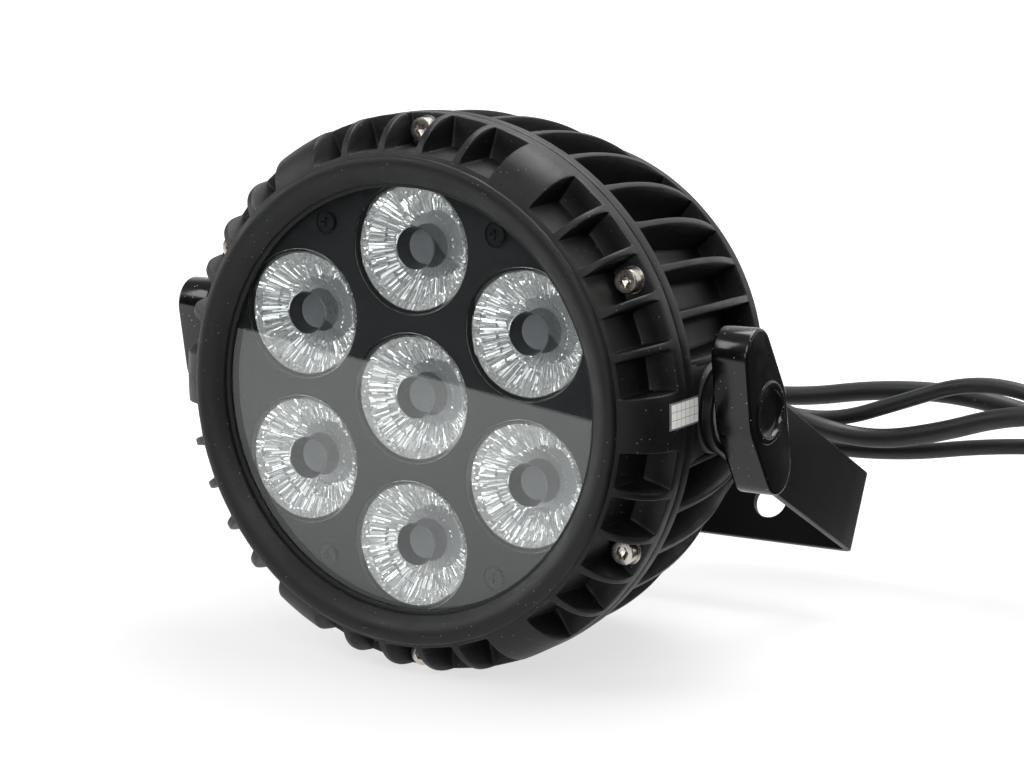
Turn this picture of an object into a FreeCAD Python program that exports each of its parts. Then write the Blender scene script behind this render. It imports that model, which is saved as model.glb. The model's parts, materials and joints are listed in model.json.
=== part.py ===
import FreeCAD, Part
import math
import os
import Sketcher
from FreeCAD import Placement, Rotation, Vector

# LED par can light standing on its round rim.
#
# The lamp is drawn in a lamp frame: X to the lamp's left-hand side of the beam (right when it is
# looked at from the front), Y from the front glass towards the rear cover, Z up, with the origin on
# the lamp's axis in the plane of the lens rims. Every sub-part is then placed with its origin at the
# middle of the lamp's footprint, on the surface that the lamp stands on.

doc = FreeCAD.newDocument("ParCanLight")
sheet = doc.addObject("Spreadsheet::Sheet", "sizes")

DRIVING_SIZES = (
    ("flange_radius", 96.0, "outer radius of the ring and housing flanges"),
    ("flange_front", 10.5, "front face of the ring's flange"),
    ("ring_flange", 5.8, "thickness of the ring's flange"),
    ("housing_flange", 5.2, "thickness of the housing's flange"),
    ("joint_gap", 0.5, "thickness of the gasket between ring and housing"),
    ("lip_reach", 11.0, "how far the ring's lip stands in front of the lenses"),
    ("lip_radius", 83.2, "outer radius of the front lip"),
    ("window_radius", 73.5, "radius of the opening in front of the glass"),
    ("window_front", 6.9, "how far the window's edge stands in front of the lenses"),
    ("rib_sweep", 18.75, "radius of the ribs' convex outer edge"),
    ("rib_pitch", 10.0, "angle from rib to rib"),
    ("rib_angle", 1.9, "angle that one rib takes"),
    ("pocket_floor", 84.4, "radius of the pockets' floor"),
    ("window_wall", 1.5, "thickness of the lip at the window's edge"),
    ("glass_radius", 79.6, "radius of the front glass"),
    ("glass_thickness", 3.2, "thickness of the front glass"),
    ("seal_thickness", 1.0, "thickness of the seal in front of the glass"),
    ("seal_inner", 72.2, "inner radius of the seal in front of the glass"),
    ("seat_clearance", 0.3, "room round what drops into the ring"),
    ("panel_thickness", 2.0, "thickness of the lens panel"),
    ("lens_radius", 22.5, "radius of a lens"),
    ("lens_pitch", 51.0, "radius of the circle of lenses"),
    ("lens_depth", 20.5, "depth of a lens"),
    ("lens_flange", 2.2, "thickness of a lens's flange"),
    ("lens_dish", 2.7, "depth of the dish in the front of a lens"),
    ("lens_well", 7.3, "radius of the well in the middle of a lens"),
    ("well_depth", 6.2, "depth of the well's bottom"),
    ("lens_clearance", 0.2, "room round a lens in its panel hole"),
    ("holder_wall", 1.8, "wall of a lens holder"),
    ("board_radius", 75.5, "radius of the LED board"),
    ("board_thickness", 2.0, "thickness of the LED board"),
    ("board_depth", 24.4, "how far behind the lens rims the LED board's front lies"),
    ("emitter_size", 9.0, "side of an LED package"),
    ("web_thickness", 5.0, "thickness of the plate that carries the LED board"),
    ("cavity_front", 77.5, "radius of the housing's bore at the front"),
    ("cavity_rear", 62.5, "radius of the housing's bore at the rear"),
    ("shell_front", 82.5, "radius of the housing between the fins at the front"),
    ("shell_rear", 69.0, "radius of the housing between the fins at the rear"),
    ("rim_radius", 80.2, "radius of the housing's rear rim"),
    ("rim_thickness", 4.0, "thickness of the housing's rear rim"),
    ("housing_rear", 106.3, "rear face of the housing"),
    ("fin_start", 95.4, "radius of the fins at the flange"),
    ("fin_sweep", 205.0, "radius of the fins' convex outer edge"),
    ("fin_thickness", 2.8, "thickness of a fin"),
    ("boss_rear", 60.0, "rear end of a smooth side boss"),
    ("boss_angle", 20.0, "angle that a smooth side boss takes"),
    ("boss_radius", 95.8, "outer radius of a smooth side boss"),
    ("pivot_depth", 39.5, "how far behind the lens rims the yoke's pivot lies"),
    ("pad_radius", 15.4, "radius of the pivot pad"),
    ("pad_face", 96.2, "distance from the lamp's axis to the pivot pad's face"),
    ("stud_radius", 5.0, "radius of a knob's stud"),
    ("stud_clearance", 0.08, "room round a stud in the yoke and in its insert"),
    ("insert_radius", 8.0, "outer radius of a pivot insert"),
    ("insert_length", 14.0, "length of a pivot insert"),
    ("washer_thickness", 0.9, "thickness of a pivot washer"),
    ("washer_radius", 13.0, "outer radius of a pivot washer"),
    ("slide_gap", 0.1, "gap between faces that turn on each other at the pivot"),
    ("yoke_width", 30.0, "width of the yoke's strip"),
    ("yoke_thickness", 3.0, "thickness of the yoke's strip"),
    ("yoke_bend", 1.0, "inner radius of the yoke's bends"),
    ("yoke_reach", 125.0, "distance from the pivot to the crossbar's outer face"),
    ("yoke_droop", 27.0, "angle of the yoke's arms below the lamp's axis"),
    ("hang_hole", 6.5, "radius of the holes in the yoke's crossbar"),
    ("hang_spacing", 64.0, "distance from the middle hole to an outer hole"),
    ("knob_half", 31.2, "half the length of a knob"),
    ("knob_tip", 9.3, "radius of a knob's ends"),
    ("knob_hub", 13.8, "radius of a knob at its hub"),
    ("knob_thickness", 13.4, "thickness of a knob"),
    ("knob_lean", 23.0, "angle of a knob from upright"),
    ("screw_circle", 90.3, "radius of the circle of rim screws"),
    ("screw_radius", 2.5, "radius of a rim screw's shank"),
    ("screw_head", 4.25, "radius of a rim screw's head"),
    ("head_height", 4.6, "height of a rim screw's head"),
    ("rim_washer", 0.8, "thickness of a rim screw's washer"),
    ("panel_screw_circle", 67.0, "radius of the circle of panel screws"),
    ("panel_screw_head", 3.3, "radius of a panel screw's head"),
    ("cover_radius", 77.8, "radius of the rear cover"),
    ("cover_thickness", 4.0, "thickness of the rear cover"),
    ("cover_gasket", 0.8, "thickness of the rear cover's gasket"),
    ("cover_screw_circle", 73.4, "radius of the circle of rear cover screws"),
    ("small_screw", 1.5, "radius of the shanks of the panel's and the board's screws"),
    ("thread_clearance", 0.15, "room round a small screw's shank"),
    ("gland_radius", 8.0, "radius of a cable gland's thread"),
    ("gland_reach", 21.0, "how far a cable gland stands behind the rear cover"),
    ("gland_drop", 14.0, "how far the cable glands lie below the lamp's axis"),
    ("power_cable", 3.75, "radius of a power cable"),
    ("data_cable", 3.0, "radius of a data cable"),
    ("plug_radius", 10.0, "outer radius of an in-line connector"),
    ("button_radius", 3.5, "radius of a push button"),
    ("button_clearance", 0.3, "room round a push button"),
    ("button_row", 14.0, "height of the row of push buttons above the lamp's axis"),
    ("display_row", 35.0, "height of the display window above the lamp's axis"),
    ("display_width", 38.0, "width of the display window"),
    ("display_height", 17.0, "height of the display window"),
)
for row, (alias, number, meaning) in enumerate(DRIVING_SIZES, start=1):
    sheet.set(f"A{row}", meaning)
    sheet.set(f"B{row}", str(number))
    sheet.setAlias(f"B{row}", alias)
doc.recompute()


class Size:
    """A length or angle: its value now, and the sheet expression that drives it."""

    def __init__(self, text, value):
        self.text = text
        self.value = float(value)

    def joined(self, sign, other, value):
        return Size(f"({self.text} {sign} {as_size(other).text})", value)

    def __add__(self, other):
        return self.joined("+", other, self.value + as_size(other).value)

    def __sub__(self, other):
        return self.joined("-", other, self.value - as_size(other).value)

    def __mul__(self, other):
        return self.joined("*", other, self.value * as_size(other).value)

    def __truediv__(self, other):
        return self.joined("/", other, self.value / as_size(other).value)

    def __neg__(self):
        return Size(f"(0 - {self.text})", -self.value)

    def __radd__(self, other):
        return as_size(other) + self

    def __rsub__(self, other):
        return as_size(other) - self

    def __rmul__(self, other):
        return as_size(other) * self


def as_size(value):
    return value if isinstance(value, Size) else Size(f"{float(value):.6f}", value)


def size(alias):
    return Size(f"sizes.{alias}", sheet.get(alias))


def sine(angle):
    angle = as_size(angle)
    return Size(f"sin({angle.text})", math.sin(math.radians(angle.value)))


def cosine(angle):
    angle = as_size(angle)
    return Size(f"cos({angle.text})", math.cos(math.radians(angle.value)))


def root(value):
    return Size(f"sqrt({value.text})", math.sqrt(value.value))


def ring_points(radius, angles):
    """Points on a circle round the lamp's axis, as (X, Z) pairs of sizes."""
    return [(radius * cosine(angle), radius * sine(angle)) for angle in angles]


def bind(item, path, value):
    item.setExpression(path, as_size(value).text)


# ---------------------------------------------------------------- sketches and features

NODES = []                # the sub-parts that are written out, in order
PLANE_NORMAL_OFFSET = {   # how a distance along the lamp's axes becomes a sketch's own offset
    "XY_Plane": 1.0,
    "XZ_Plane": -1.0,
    "YZ_Plane": 1.0,
}


def node(item, label):
    item.Label = label
    NODES.append(item)
    return item


def body(label):
    item = doc.addObject("PartDesign::Body", label)
    item.AllowCompound = True
    return node(item, label)


def blank_sketch(item, role, height=0.0, spin=None):
    """An empty sketch parallel to one of the body's origin planes, at a height along its axis."""
    sketch = item.newObject("Sketcher::SketchObject", f"{item.Name}_sketch")
    plane = next(face for face in item.Origin.OriginFeatures if face.Role == role)
    sketch.AttachmentSupport = (plane, [""])
    sketch.MapMode = "FlatFace"
    height = as_size(height) * PLANE_NORMAL_OFFSET[role]
    sketch.AttachmentOffset = Placement(Vector(0, 0, height.value), Rotation())
    if height.text.find("sizes.") >= 0:
        bind(sketch, "AttachmentOffset.Base.z", height)
    if spin is not None:
        sketch.AttachmentOffset = Placement(Vector(), Rotation(Vector(0, 1, 0), as_size(spin).value))
        bind(sketch, "AttachmentOffset.Rotation.Angle", spin)
    return sketch


def hold_point(sketch, geometry, end, x, y):
    """Fix a sketch point at a place, with the sheet driving both distances."""
    for kind, value in (("DistanceX", x), ("DistanceY", y)):
        value = as_size(value)
        number = sketch.addConstraint(Sketcher.Constraint(kind, -1, 1, geometry, end, value.value))
        if value.text.find("sizes.") >= 0:
            bind(sketch, f"Constraints[{number}]", value)


def hold_radius(sketch, geometry, radius):
    radius = as_size(radius)
    number = sketch.addConstraint(Sketcher.Constraint("Radius", geometry, radius.value))
    if radius.text.find("sizes.") >= 0:
        bind(sketch, f"Constraints[{number}]", radius)


def arc_between(start, finish, radius, left):
    """The short arc from start to finish; its centre is on the left of the way, or on the right."""
    chord = finish - start
    half = chord.Length / 2
    reach = math.sqrt(radius * radius - half * half)
    side = Vector(-chord.y, chord.x, 0).normalize() * (reach if left else -reach)
    centre = start + chord * 0.5 + side
    first = math.atan2(start.y - centre.y, start.x - centre.x)
    last = math.atan2(finish.y - centre.y, finish.x - centre.x)
    circle = Part.Circle(centre, Vector(0, 0, 1), radius)
    return Part.ArcOfCircle(circle, first, last) if left else Part.ArcOfCircle(circle, last, first)


def outline(sketch, corners):
    """A closed outline. A corner is (x, y), or (x, y, radius, side) where an arc leads to it."""
    places = [Vector(as_size(corner[0]).value, as_size(corner[1]).value, 0) for corner in corners]
    first = sketch.GeometryCount
    ends = []
    for index, corner in enumerate(corners):
        start = places[index - 1]
        finish = places[index]
        if len(corner) == 2:
            sketch.addGeometry(Part.LineSegment(start, finish))
            ends.append((1, 2))
        else:
            left = corner[3] == "left"
            sketch.addGeometry(arc_between(start, finish, as_size(corner[2]).value, left))
            ends.append((1, 2) if left else (2, 1))
    for index, corner in enumerate(corners):
        hold_point(sketch, first + index, ends[index][1], corner[0], corner[1])
        following = (index + 1) % len(corners)
        sketch.addConstraint(Sketcher.Constraint(
            "Coincident", first + index, ends[index][1], first + following, ends[following][0]))
        if len(corner) > 2:
            hold_radius(sketch, first + index, corner[2])
    return sketch


def circles(sketch, centres, radius):
    for x, y in centres:
        place = Vector(as_size(x).value, as_size(y).value, 0)
        number = sketch.addGeometry(Part.Circle(place, Vector(0, 0, 1), as_size(radius).value))
        hold_point(sketch, number, 3, x, y)
        hold_radius(sketch, number, radius)
    return sketch


def rectangle(sketch, x, y, width, height):
    """A rectangle with its centre at (x, y)."""
    x = as_size(x)
    y = as_size(y)
    half_width = as_size(width) / 2
    half_height = as_size(height) / 2
    return outline(sketch, [
        (x + half_width, y + half_height),
        (x - half_width, y + half_height),
        (x - half_width, y - half_height),
        (x + half_width, y - half_height),
    ])


def revolved(item, profile, angle=360.0, cut=False):
    """Turn a profile round the lamp's axis, which is the sketch's own vertical."""
    kind = "PartDesign::Groove" if cut else "PartDesign::Revolution"
    feature = item.newObject(kind, f"{item.Name}_turned")
    feature.Profile = profile
    feature.ReferenceAxis = (profile, ["V_Axis"])
    feature.Angle = as_size(angle).value
    if isinstance(angle, Size):
        bind(feature, "Angle", angle)
        feature.Midplane = True
    return feature


def raised(item, profile, length, back=False, both=False):
    """Pad a profile. On an XZ sketch a plain pad grows to the front, and back=True to the rear."""
    feature = item.newObject("PartDesign::Pad", f"{item.Name}_pad")
    feature.Profile = profile
    feature.Length = as_size(length).value
    bind(feature, "Length", length)
    feature.Reversed = back
    feature.Midplane = both
    return feature


def cut_in(item, profile, length=None, front=False, both=False):
    """Pocket a profile, to a depth or right through. On an XZ sketch a plain pocket goes to the rear."""
    feature = item.newObject("PartDesign::Pocket", f"{item.Name}_pocket")
    feature.Profile = profile
    if length is None:
        feature.Type = "ThroughAll"
    else:
        feature.Length = as_size(length).value
        bind(feature, "Length", length)
    feature.Reversed = front
    feature.Midplane = both
    return feature


def round_pattern(item, features, count, angle=360.0):
    """Repeat features round the lamp's axis."""
    pattern = item.newObject("PartDesign::PolarPattern", f"{item.Name}_pattern")
    pattern.Originals = features
    axis = next(line for line in item.Origin.OriginFeatures if line.Role == "Y_Axis")
    pattern.Axis = (axis, [""])
    pattern.Angle = angle
    pattern.Occurrences = count
    item.Tip = pattern
    return pattern


def turned_body(label, profile):
    """A body of revolution round the lamp's axis from (radius, depth) corners."""
    item = body(label)
    revolved(item, outline(blank_sketch(item, "XY_Plane"), profile))
    return item


def hollow_disc(label, inner, outer, front, thickness, holes=()):
    """A flat ring or disc across the lamp's axis, with round holes given as (centres, radius)."""
    item = body(label)
    profile = circles(blank_sketch(item, "XZ_Plane", front), [(0, 0)], outer)
    if inner is not None:
        circles(profile, [(0, 0)], inner)
    for centres, radius in holes:
        circles(profile, centres, radius)
    raised(item, profile, thickness, back=True)
    return item


# ---------------------------------------------------------------- places along the lamp's axis

ring_rear = size("flange_front") + size("ring_flange")
housing_front = ring_rear + size("joint_gap")
flange_rear = housing_front + size("housing_flange")
board_rear = size("board_depth") + size("board_thickness")
web_rear = board_rear + size("web_thickness")
seal_front = size("window_front") - size("window_wall")
glass_front = seal_front - size("seal_thickness")
glass_rear = glass_front - size("glass_thickness")
cover_front = size("housing_rear") + size("cover_gasket")
cover_rear = cover_front + size("cover_thickness")

LENS_ANGLES = (30, 90, 150, 210, 270, 330)
SCREW_ANGLES = (30, 90, 150, 210, 270, 330)
PANEL_SCREW_ANGLES = (60, 120, 240, 300)
lens_centres = [(as_size(0), as_size(0))] + ring_points(size("lens_pitch"), LENS_ANGLES)
gland_end = cover_rear + size("gland_reach")

yoke_back = (size("pivot_depth") + size("yoke_reach") * cosine(size("yoke_droop"))
             + size("yoke_width") / 2 * sine(size("yoke_droop")))
foot_middle = (yoke_back - size("lip_reach")) / 2


def place(item, x=0.0, y=0.0, z=0.0, axis=None, angle=0.0):
    """Put a sub-part at a point of the lamp frame, turned about an axis through that point."""
    base = (as_size(x), as_size(y) - foot_middle, as_size(z) + size("flange_radius"))
    turn = Rotation(axis, as_size(angle).value) if axis is not None else Rotation()
    item.Placement = Placement(Vector(base[0].value, base[1].value, base[2].value), turn)
    for letter, value in zip("xyz", base):
        if value.text.find("sizes.") >= 0:
            bind(item, f"Placement.Base.{letter}", value)
    if isinstance(angle, Size):
        bind(item, "Placement.Rotation.Angle", angle)
    return item


# ---------------------------------------------------------------- front ring, glass and its seals

rib_end = size("flange_front") - 1.5
rib_middle = size("flange_radius") - size("rib_sweep")
rib_reach = size("lip_radius") - rib_middle
rib_start = rib_end - root(size("rib_sweep") * size("rib_sweep") - rib_reach * rib_reach)
ring_bore = size("glass_radius") + size("seat_clearance")

front_ring = turned_body("front_ring", [
    (size("window_radius"), -seal_front),
    (size("window_radius"), -size("window_front")),
    (size("window_radius") + 6.0, -size("lip_reach"), 12.0, "right"),
    (size("lip_radius") - 2.4, -size("lip_reach")),
    (size("lip_radius"), -size("lip_reach") + 1.2),
    (size("lip_radius"), rib_start),
    (size("flange_radius"), rib_end, size("rib_sweep"), "left"),
    (size("flange_radius"), ring_rear),
    (ring_bore, ring_rear),
    (ring_bore, -seal_front),
])
POCKETS_PER_SIDE = 5
SIDES = 6
pocket_angle = size("rib_pitch") - size("rib_angle")
pocket_profile = [
    (size("pocket_floor"), -size("lip_reach")),
    (size("flange_radius") + 4.0, -size("lip_reach")),
    (size("flange_radius") + 4.0, size("flange_front")),
    (size("pocket_floor") + 0.8, size("flange_front")),
]
for number in range(1, POCKETS_PER_SIDE + 1):
    spin = size("rib_pitch") * number
    pocket = outline(blank_sketch(front_ring, "XY_Plane", spin=spin), pocket_profile)
    pocket_cut = revolved(front_ring, pocket, angle=pocket_angle, cut=True)
    round_pattern(front_ring, [pocket_cut], SIDES)
screw_places = ring_points(size("screw_circle"), SCREW_ANGLES)
ring_holes = circles(blank_sketch(front_ring, "XZ_Plane", size("flange_front") - 1.0),
                     screw_places, size("screw_radius") + 0.25)
cut_in(front_ring, ring_holes, size("ring_flange") + 2.0)
place(front_ring)

place(hollow_disc("window_seal", size("seal_inner"), size("glass_radius"), -seal_front,
                  size("seal_thickness")))
place(hollow_disc("window_glass", None, size("glass_radius"), -glass_front, size("glass_thickness")))
place(hollow_disc("glass_cushion", size("window_radius") + 0.8, size("glass_radius"), -glass_rear,
                  glass_rear))

# ---------------------------------------------------------------- lens panel and its fasteners

panel_radius = size("glass_radius")
panel_screws_at = ring_points(size("panel_screw_circle"), PANEL_SCREW_ANGLES)
panel = hollow_disc("lens_panel", None, panel_radius, 0.0, size("panel_thickness"), holes=[
    (lens_centres, size("lens_radius") + size("lens_clearance")),
    (panel_screws_at, size("small_screw") + size("thread_clearance")),
])
SCREW_SINK = 0.9
sink = circles(blank_sketch(panel, "XZ_Plane"), panel_screws_at, size("panel_screw_head") + 1.2)
cut_in(panel, sink, SCREW_SINK)
place(panel)

panel_screws = body("panel_screws")
raised(panel_screws, circles(blank_sketch(panel_screws, "XZ_Plane", -0.9), panel_screws_at,
                             size("panel_screw_head")), 1.8, back=True)
raised(panel_screws, circles(blank_sketch(panel_screws, "XZ_Plane", SCREW_SINK), panel_screws_at,
                             size("small_screw")),
       9.0, back=True)
for width, height in ((3.6, 0.7), (0.7, 3.6)):
    slots = blank_sketch(panel_screws, "XZ_Plane", -0.9)
    for x, z in panel_screws_at:
        rectangle(slots, x, z, width, height)
    cut_in(panel_screws, slots, 1.0)
place(panel_screws)

# ---------------------------------------------------------------- lenses, holders and LED board

TIR_NECK = 8.2            # radius of a lens's rear end
EMITTER_WELL = 5.6        # radius of the hollow round the emitter
for number, (x, z) in enumerate(lens_centres, start=1):
    lens = turned_body(f"lens_{number}", [
        (0, size("well_depth")),
        (size("lens_well") - 1.2, size("well_depth")),
        (size("lens_well"), size("lens_dish")),
        (size("lens_radius") - 0.9, 0),
        (size("lens_radius"), 0),
        (size("lens_radius"), size("lens_flange")),
        (size("lens_radius") - 1.4, size("lens_flange")),
        (TIR_NECK, size("lens_depth"), 30.0, "left"),
        (EMITTER_WELL, size("lens_depth")),
        (EMITTER_WELL, size("well_depth") + 8.0),
        (0, size("well_depth") + 6.5),
    ])
    place(lens, x=x, z=z)

holder_outer = size("lens_radius") + 0.9
holder_length = size("board_depth") - size("lens_flange")
holders = body("lens_holders")
tubes = blank_sketch(holders, "XZ_Plane", size("lens_flange"))
circles(tubes, lens_centres, holder_outer)
circles(tubes, lens_centres, holder_outer - size("holder_wall"))
raised(holders, tubes, holder_length, back=True)
place(holders)

standoff_length = size("board_depth") - size("panel_thickness")
standoffs = body("panel_standoffs")
pillars = blank_sketch(standoffs, "XZ_Plane", size("panel_thickness"))
circles(pillars, panel_screws_at, 3.5)
circles(pillars, panel_screws_at, size("small_screw") + size("thread_clearance"))
raised(standoffs, pillars, standoff_length, back=True)
place(standoffs)

BOARD_SCREW_ANGLES = (0, 60, 120, 180, 240, 300)
board_screws_at = ring_points(size("lens_pitch") / math.sqrt(3), BOARD_SCREW_ANGLES)
place(hollow_disc("led_board", None, size("board_radius"), size("board_depth"),
                  size("board_thickness"),
                  holes=[(board_screws_at, size("small_screw") + size("thread_clearance"))]))

board_screws = body("board_screws")
raised(board_screws, circles(blank_sketch(board_screws, "XZ_Plane", size("board_depth")),
                             board_screws_at, 2.75), 1.7)
raised(board_screws, circles(blank_sketch(board_screws, "XZ_Plane", size("board_depth")),
                             board_screws_at, size("small_screw")), size("board_thickness") + 3.5,
       back=True)
place(board_screws)

emitters = body("led_emitters")
packages = blank_sketch(emitters, "XZ_Plane", size("board_depth"))
for x, z in lens_centres:
    rectangle(packages, x, z, size("emitter_size"), size("emitter_size"))
raised(emitters, packages, 1.5)
raised(emitters, circles(blank_sketch(emitters, "XZ_Plane", size("board_depth") - 1.5),
                         lens_centres, 3.4), 1.2)
place(emitters)

# ---------------------------------------------------------------- rim screws and the joint's gasket

place(hollow_disc("joint_gasket", size("cavity_front") + 6.0, size("flange_radius") - 0.8, ring_rear,
                  size("joint_gap"), holes=[(screw_places, size("screw_radius") + 0.25)]))

head_front = size("flange_front") - size("rim_washer") - size("head_height")
washer_front = size("flange_front") - size("rim_washer")
shank_length = housing_front + size("housing_flange") - washer_front - 0.4
rim_screws = body("rim_screws")
raised(rim_screws, circles(blank_sketch(rim_screws, "XZ_Plane", head_front), screw_places,
                           size("screw_head")), size("head_height"), back=True)
raised(rim_screws, circles(blank_sketch(rim_screws, "XZ_Plane", washer_front), screw_places,
                           size("screw_radius")), shank_length, back=True)


def polygon(sketch, x, y, across_flats, sides=6):
    """A regular polygon with its centre at (x, y) and a flat side to its right."""
    corner_radius = as_size(across_flats) / 2 / math.cos(math.pi / sides)
    turn = 360.0 / sides
    angles = [turn / 2 + turn * number for number in range(sides)]
    return outline(sketch, [(as_size(x) + corner_radius * cosine(angle),
                             as_size(y) + corner_radius * sine(angle)) for angle in angles])


sockets = blank_sketch(rim_screws, "XZ_Plane", head_front)
for x, z in screw_places:
    polygon(sockets, x, z, 4.0)
cut_in(rim_screws, sockets, 2.6)
place(rim_screws)

rim_washers = body("rim_washers")
washer_rings = blank_sketch(rim_washers, "XZ_Plane", washer_front)
circles(washer_rings, screw_places, size("screw_head") + 0.55)
circles(washer_rings, screw_places, size("screw_radius") + 0.1)
raised(rim_washers, washer_rings, size("rim_washer"), back=True)
place(rim_washers)

# ---------------------------------------------------------------- rear housing

rim_front = size("housing_rear") - size("rim_thickness")
housing = turned_body("rear_housing", [
    (0, board_rear),
    (size("cavity_front"), board_rear),
    (size("cavity_front"), housing_front),
    (size("flange_radius"), housing_front),
    (size("flange_radius"), flange_rear),
    (size("shell_front"), flange_rear),
    (size("shell_rear"), rim_front),
    (size("rim_radius"), rim_front),
    (size("rim_radius"), size("housing_rear")),
    (size("cavity_rear"), size("housing_rear")),
    (size("cavity_front") - 3.5, web_rear),
    (0, web_rear),
])
FIN_COUNT = 36
FIN_ROOT = 2.0            # how deep a fin's root lies in the shell
fin_profile = outline(blank_sketch(housing, "XY_Plane"), [
    (size("shell_front") - FIN_ROOT, flange_rear),
    (size("fin_start"), flange_rear),
    (size("rim_radius"), rim_front, size("fin_sweep"), "left"),
    (size("shell_rear") - FIN_ROOT, rim_front),
])
fin = raised(housing, fin_profile, size("fin_thickness"), both=True)
round_pattern(housing, [fin], FIN_COUNT)
boss_profile = outline(blank_sketch(housing, "XY_Plane"), [
    (size("shell_front") - FIN_ROOT - 4.0, flange_rear),
    (size("boss_radius"), flange_rear),
    (size("boss_radius") - 3.0, size("boss_rear")),
    (size("shell_front") - FIN_ROOT - 4.0, size("boss_rear")),
])
boss = revolved(housing, boss_profile, angle=size("boss_angle"))
round_pattern(housing, [boss], 2)
PAD_ROOT = 80.5           # distance from the lamp's axis to the pad's hidden root
pad = raised(housing, circles(blank_sketch(housing, "YZ_Plane", PAD_ROOT),
                              [(size("pivot_depth"), 0)], size("pad_radius")),
             size("pad_face") - PAD_ROOT)
round_pattern(housing, [pad], 2)
insert_bore = size("insert_radius") + 0.02
insert_hole = cut_in(housing, circles(blank_sketch(housing, "YZ_Plane", size("pad_face")),
                                      [(size("pivot_depth"), 0)], insert_bore),
                     size("insert_length"))
round_pattern(housing, [insert_hole], 2)
cut_in(housing, circles(blank_sketch(housing, "XZ_Plane", housing_front), screw_places,
                        size("screw_radius") + size("thread_clearance")),
       size("housing_flange"))
cut_in(housing, circles(blank_sketch(housing, "XZ_Plane", board_rear), board_screws_at,
                        size("small_screw") + size("thread_clearance")), 3.8)
cover_screws_at = ring_points(size("cover_screw_circle"), range(15, 375, 45))
cut_in(housing, circles(blank_sketch(housing, "XZ_Plane", size("housing_rear")), cover_screws_at,
                        size("small_screw") + size("thread_clearance")), 3.2, front=True)
WIRE_HOLE = 5.0           # the hole in the web that the board's wires pass through
cut_in(housing, circles(blank_sketch(housing, "XZ_Plane", board_rear), [(0, -size("lens_pitch"))],
                        WIRE_HOLE), size("web_thickness"))
place(housing)

inserts = body("pivot_inserts")
insert_profile = blank_sketch(inserts, "YZ_Plane", size("pad_face"))
circles(insert_profile, [(size("pivot_depth"), 0)], size("insert_radius"))
circles(insert_profile, [(size("pivot_depth"), 0)], size("stud_radius") + size("stud_clearance"))
insert = raised(inserts, insert_profile, size("insert_length"), back=True)
round_pattern(inserts, [insert], 2)
place(inserts)

# ---------------------------------------------------------------- rear cover, its gasket and screws

gland_places = [(number, -size("gland_drop")) for number in (-36.0, -12.0, 12.0, 36.0)]
GLAND_NAMES = ("power_in", "data_out", "data_in", "power_out")
BUTTON_PITCH = 11.0
button_places = [(BUTTON_PITCH * step, size("button_row")) for step in (-1.5, -0.5, 0.5, 1.5)]
VENT_DROP = 48.0          # how far the breather vent lies below the lamp's axis
VENT_THREAD = 4.0         # radius of the breather vent's thread
small_hole = size("small_screw") + size("thread_clearance")

place(hollow_disc("cover_gasket", size("cavity_rear") + 5.0, size("cover_radius") - 1.0,
                  size("housing_rear"), size("cover_gasket"), holes=[(cover_screws_at, small_hole)]))

cover = hollow_disc("rear_cover", None, size("cover_radius"), cover_front, size("cover_thickness"),
                    holes=[
                        (cover_screws_at, small_hole),
                        (gland_places, size("gland_radius") + size("thread_clearance")),
                        (button_places, size("button_radius") + size("button_clearance")),
                        ([(0, -VENT_DROP)], VENT_THREAD + size("thread_clearance")),
                    ])
WINDOW_LEDGE = 2.0        # width of the ledge that the display window lies on
WINDOW_SEAT = 2.0         # depth of the display window's seat in the rear cover
window_seat = rectangle(blank_sketch(cover, "XZ_Plane", cover_rear), 0, size("display_row"),
                        size("display_width") + 0.3, size("display_height") + 0.3)
cut_in(cover, window_seat, WINDOW_SEAT, front=True)
window_hole = rectangle(blank_sketch(cover, "XZ_Plane", cover_front), 0, size("display_row"),
                        size("display_width") - 2 * WINDOW_LEDGE,
                        size("display_height") - 2 * WINDOW_LEDGE)
cut_in(cover, window_hole, size("cover_thickness"))
place(cover)

display_window = body("display_window")
raised(display_window, rectangle(blank_sketch(display_window, "XZ_Plane", cover_rear - 0.2), 0,
                                 size("display_row"), size("display_width"), size("display_height")),
       WINDOW_SEAT - 0.2)
place(display_window)

COVER_HEAD = 2.8
cover_screws = body("cover_screws")
raised(cover_screws, circles(blank_sketch(cover_screws, "XZ_Plane", cover_rear), cover_screws_at,
                             COVER_HEAD), 2.2, back=True)
raised(cover_screws, circles(blank_sketch(cover_screws, "XZ_Plane", cover_rear), cover_screws_at,
                             1.5), size("cover_thickness") + size("cover_gasket") + 2.8)
cover_slots = blank_sketch(cover_screws, "XZ_Plane", cover_rear + 2.2)
for x, z in cover_screws_at:
    polygon(cover_slots, x, z, 2.5)
cut_in(cover_screws, cover_slots, 1.3, front=True)
place(cover_screws)

vent = body("breather_vent")
raised(vent, circles(blank_sketch(vent, "XZ_Plane", cover_rear), [(0, 0)], VENT_THREAD),
       size("cover_thickness") + 1.0)
raised(vent, polygon(blank_sketch(vent, "XZ_Plane", cover_rear), 0, 0, 11.0), 2.5, back=True)
raised(vent, circles(blank_sketch(vent, "XZ_Plane", cover_rear), [(0, 0)], 5.0), 4.6, back=True)
place(vent, z=-VENT_DROP)

# ---------------------------------------------------------------- driver and control electronics

DRIVER_FRONT = 62.0       # front face of the driver board, behind the lens rims
DRIVER_POSTS = [(x, z) for x in (-36.0, 36.0) for z in (-24.0, 24.0)]
driver_board = body("driver_board")
driver_outline = rectangle(blank_sketch(driver_board, "XZ_Plane", DRIVER_FRONT), 0, 0, 84.0, 60.0)
circles(driver_outline, DRIVER_POSTS, small_hole)
raised(driver_board, driver_outline, 1.6, back=True)
place(driver_board)

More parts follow.
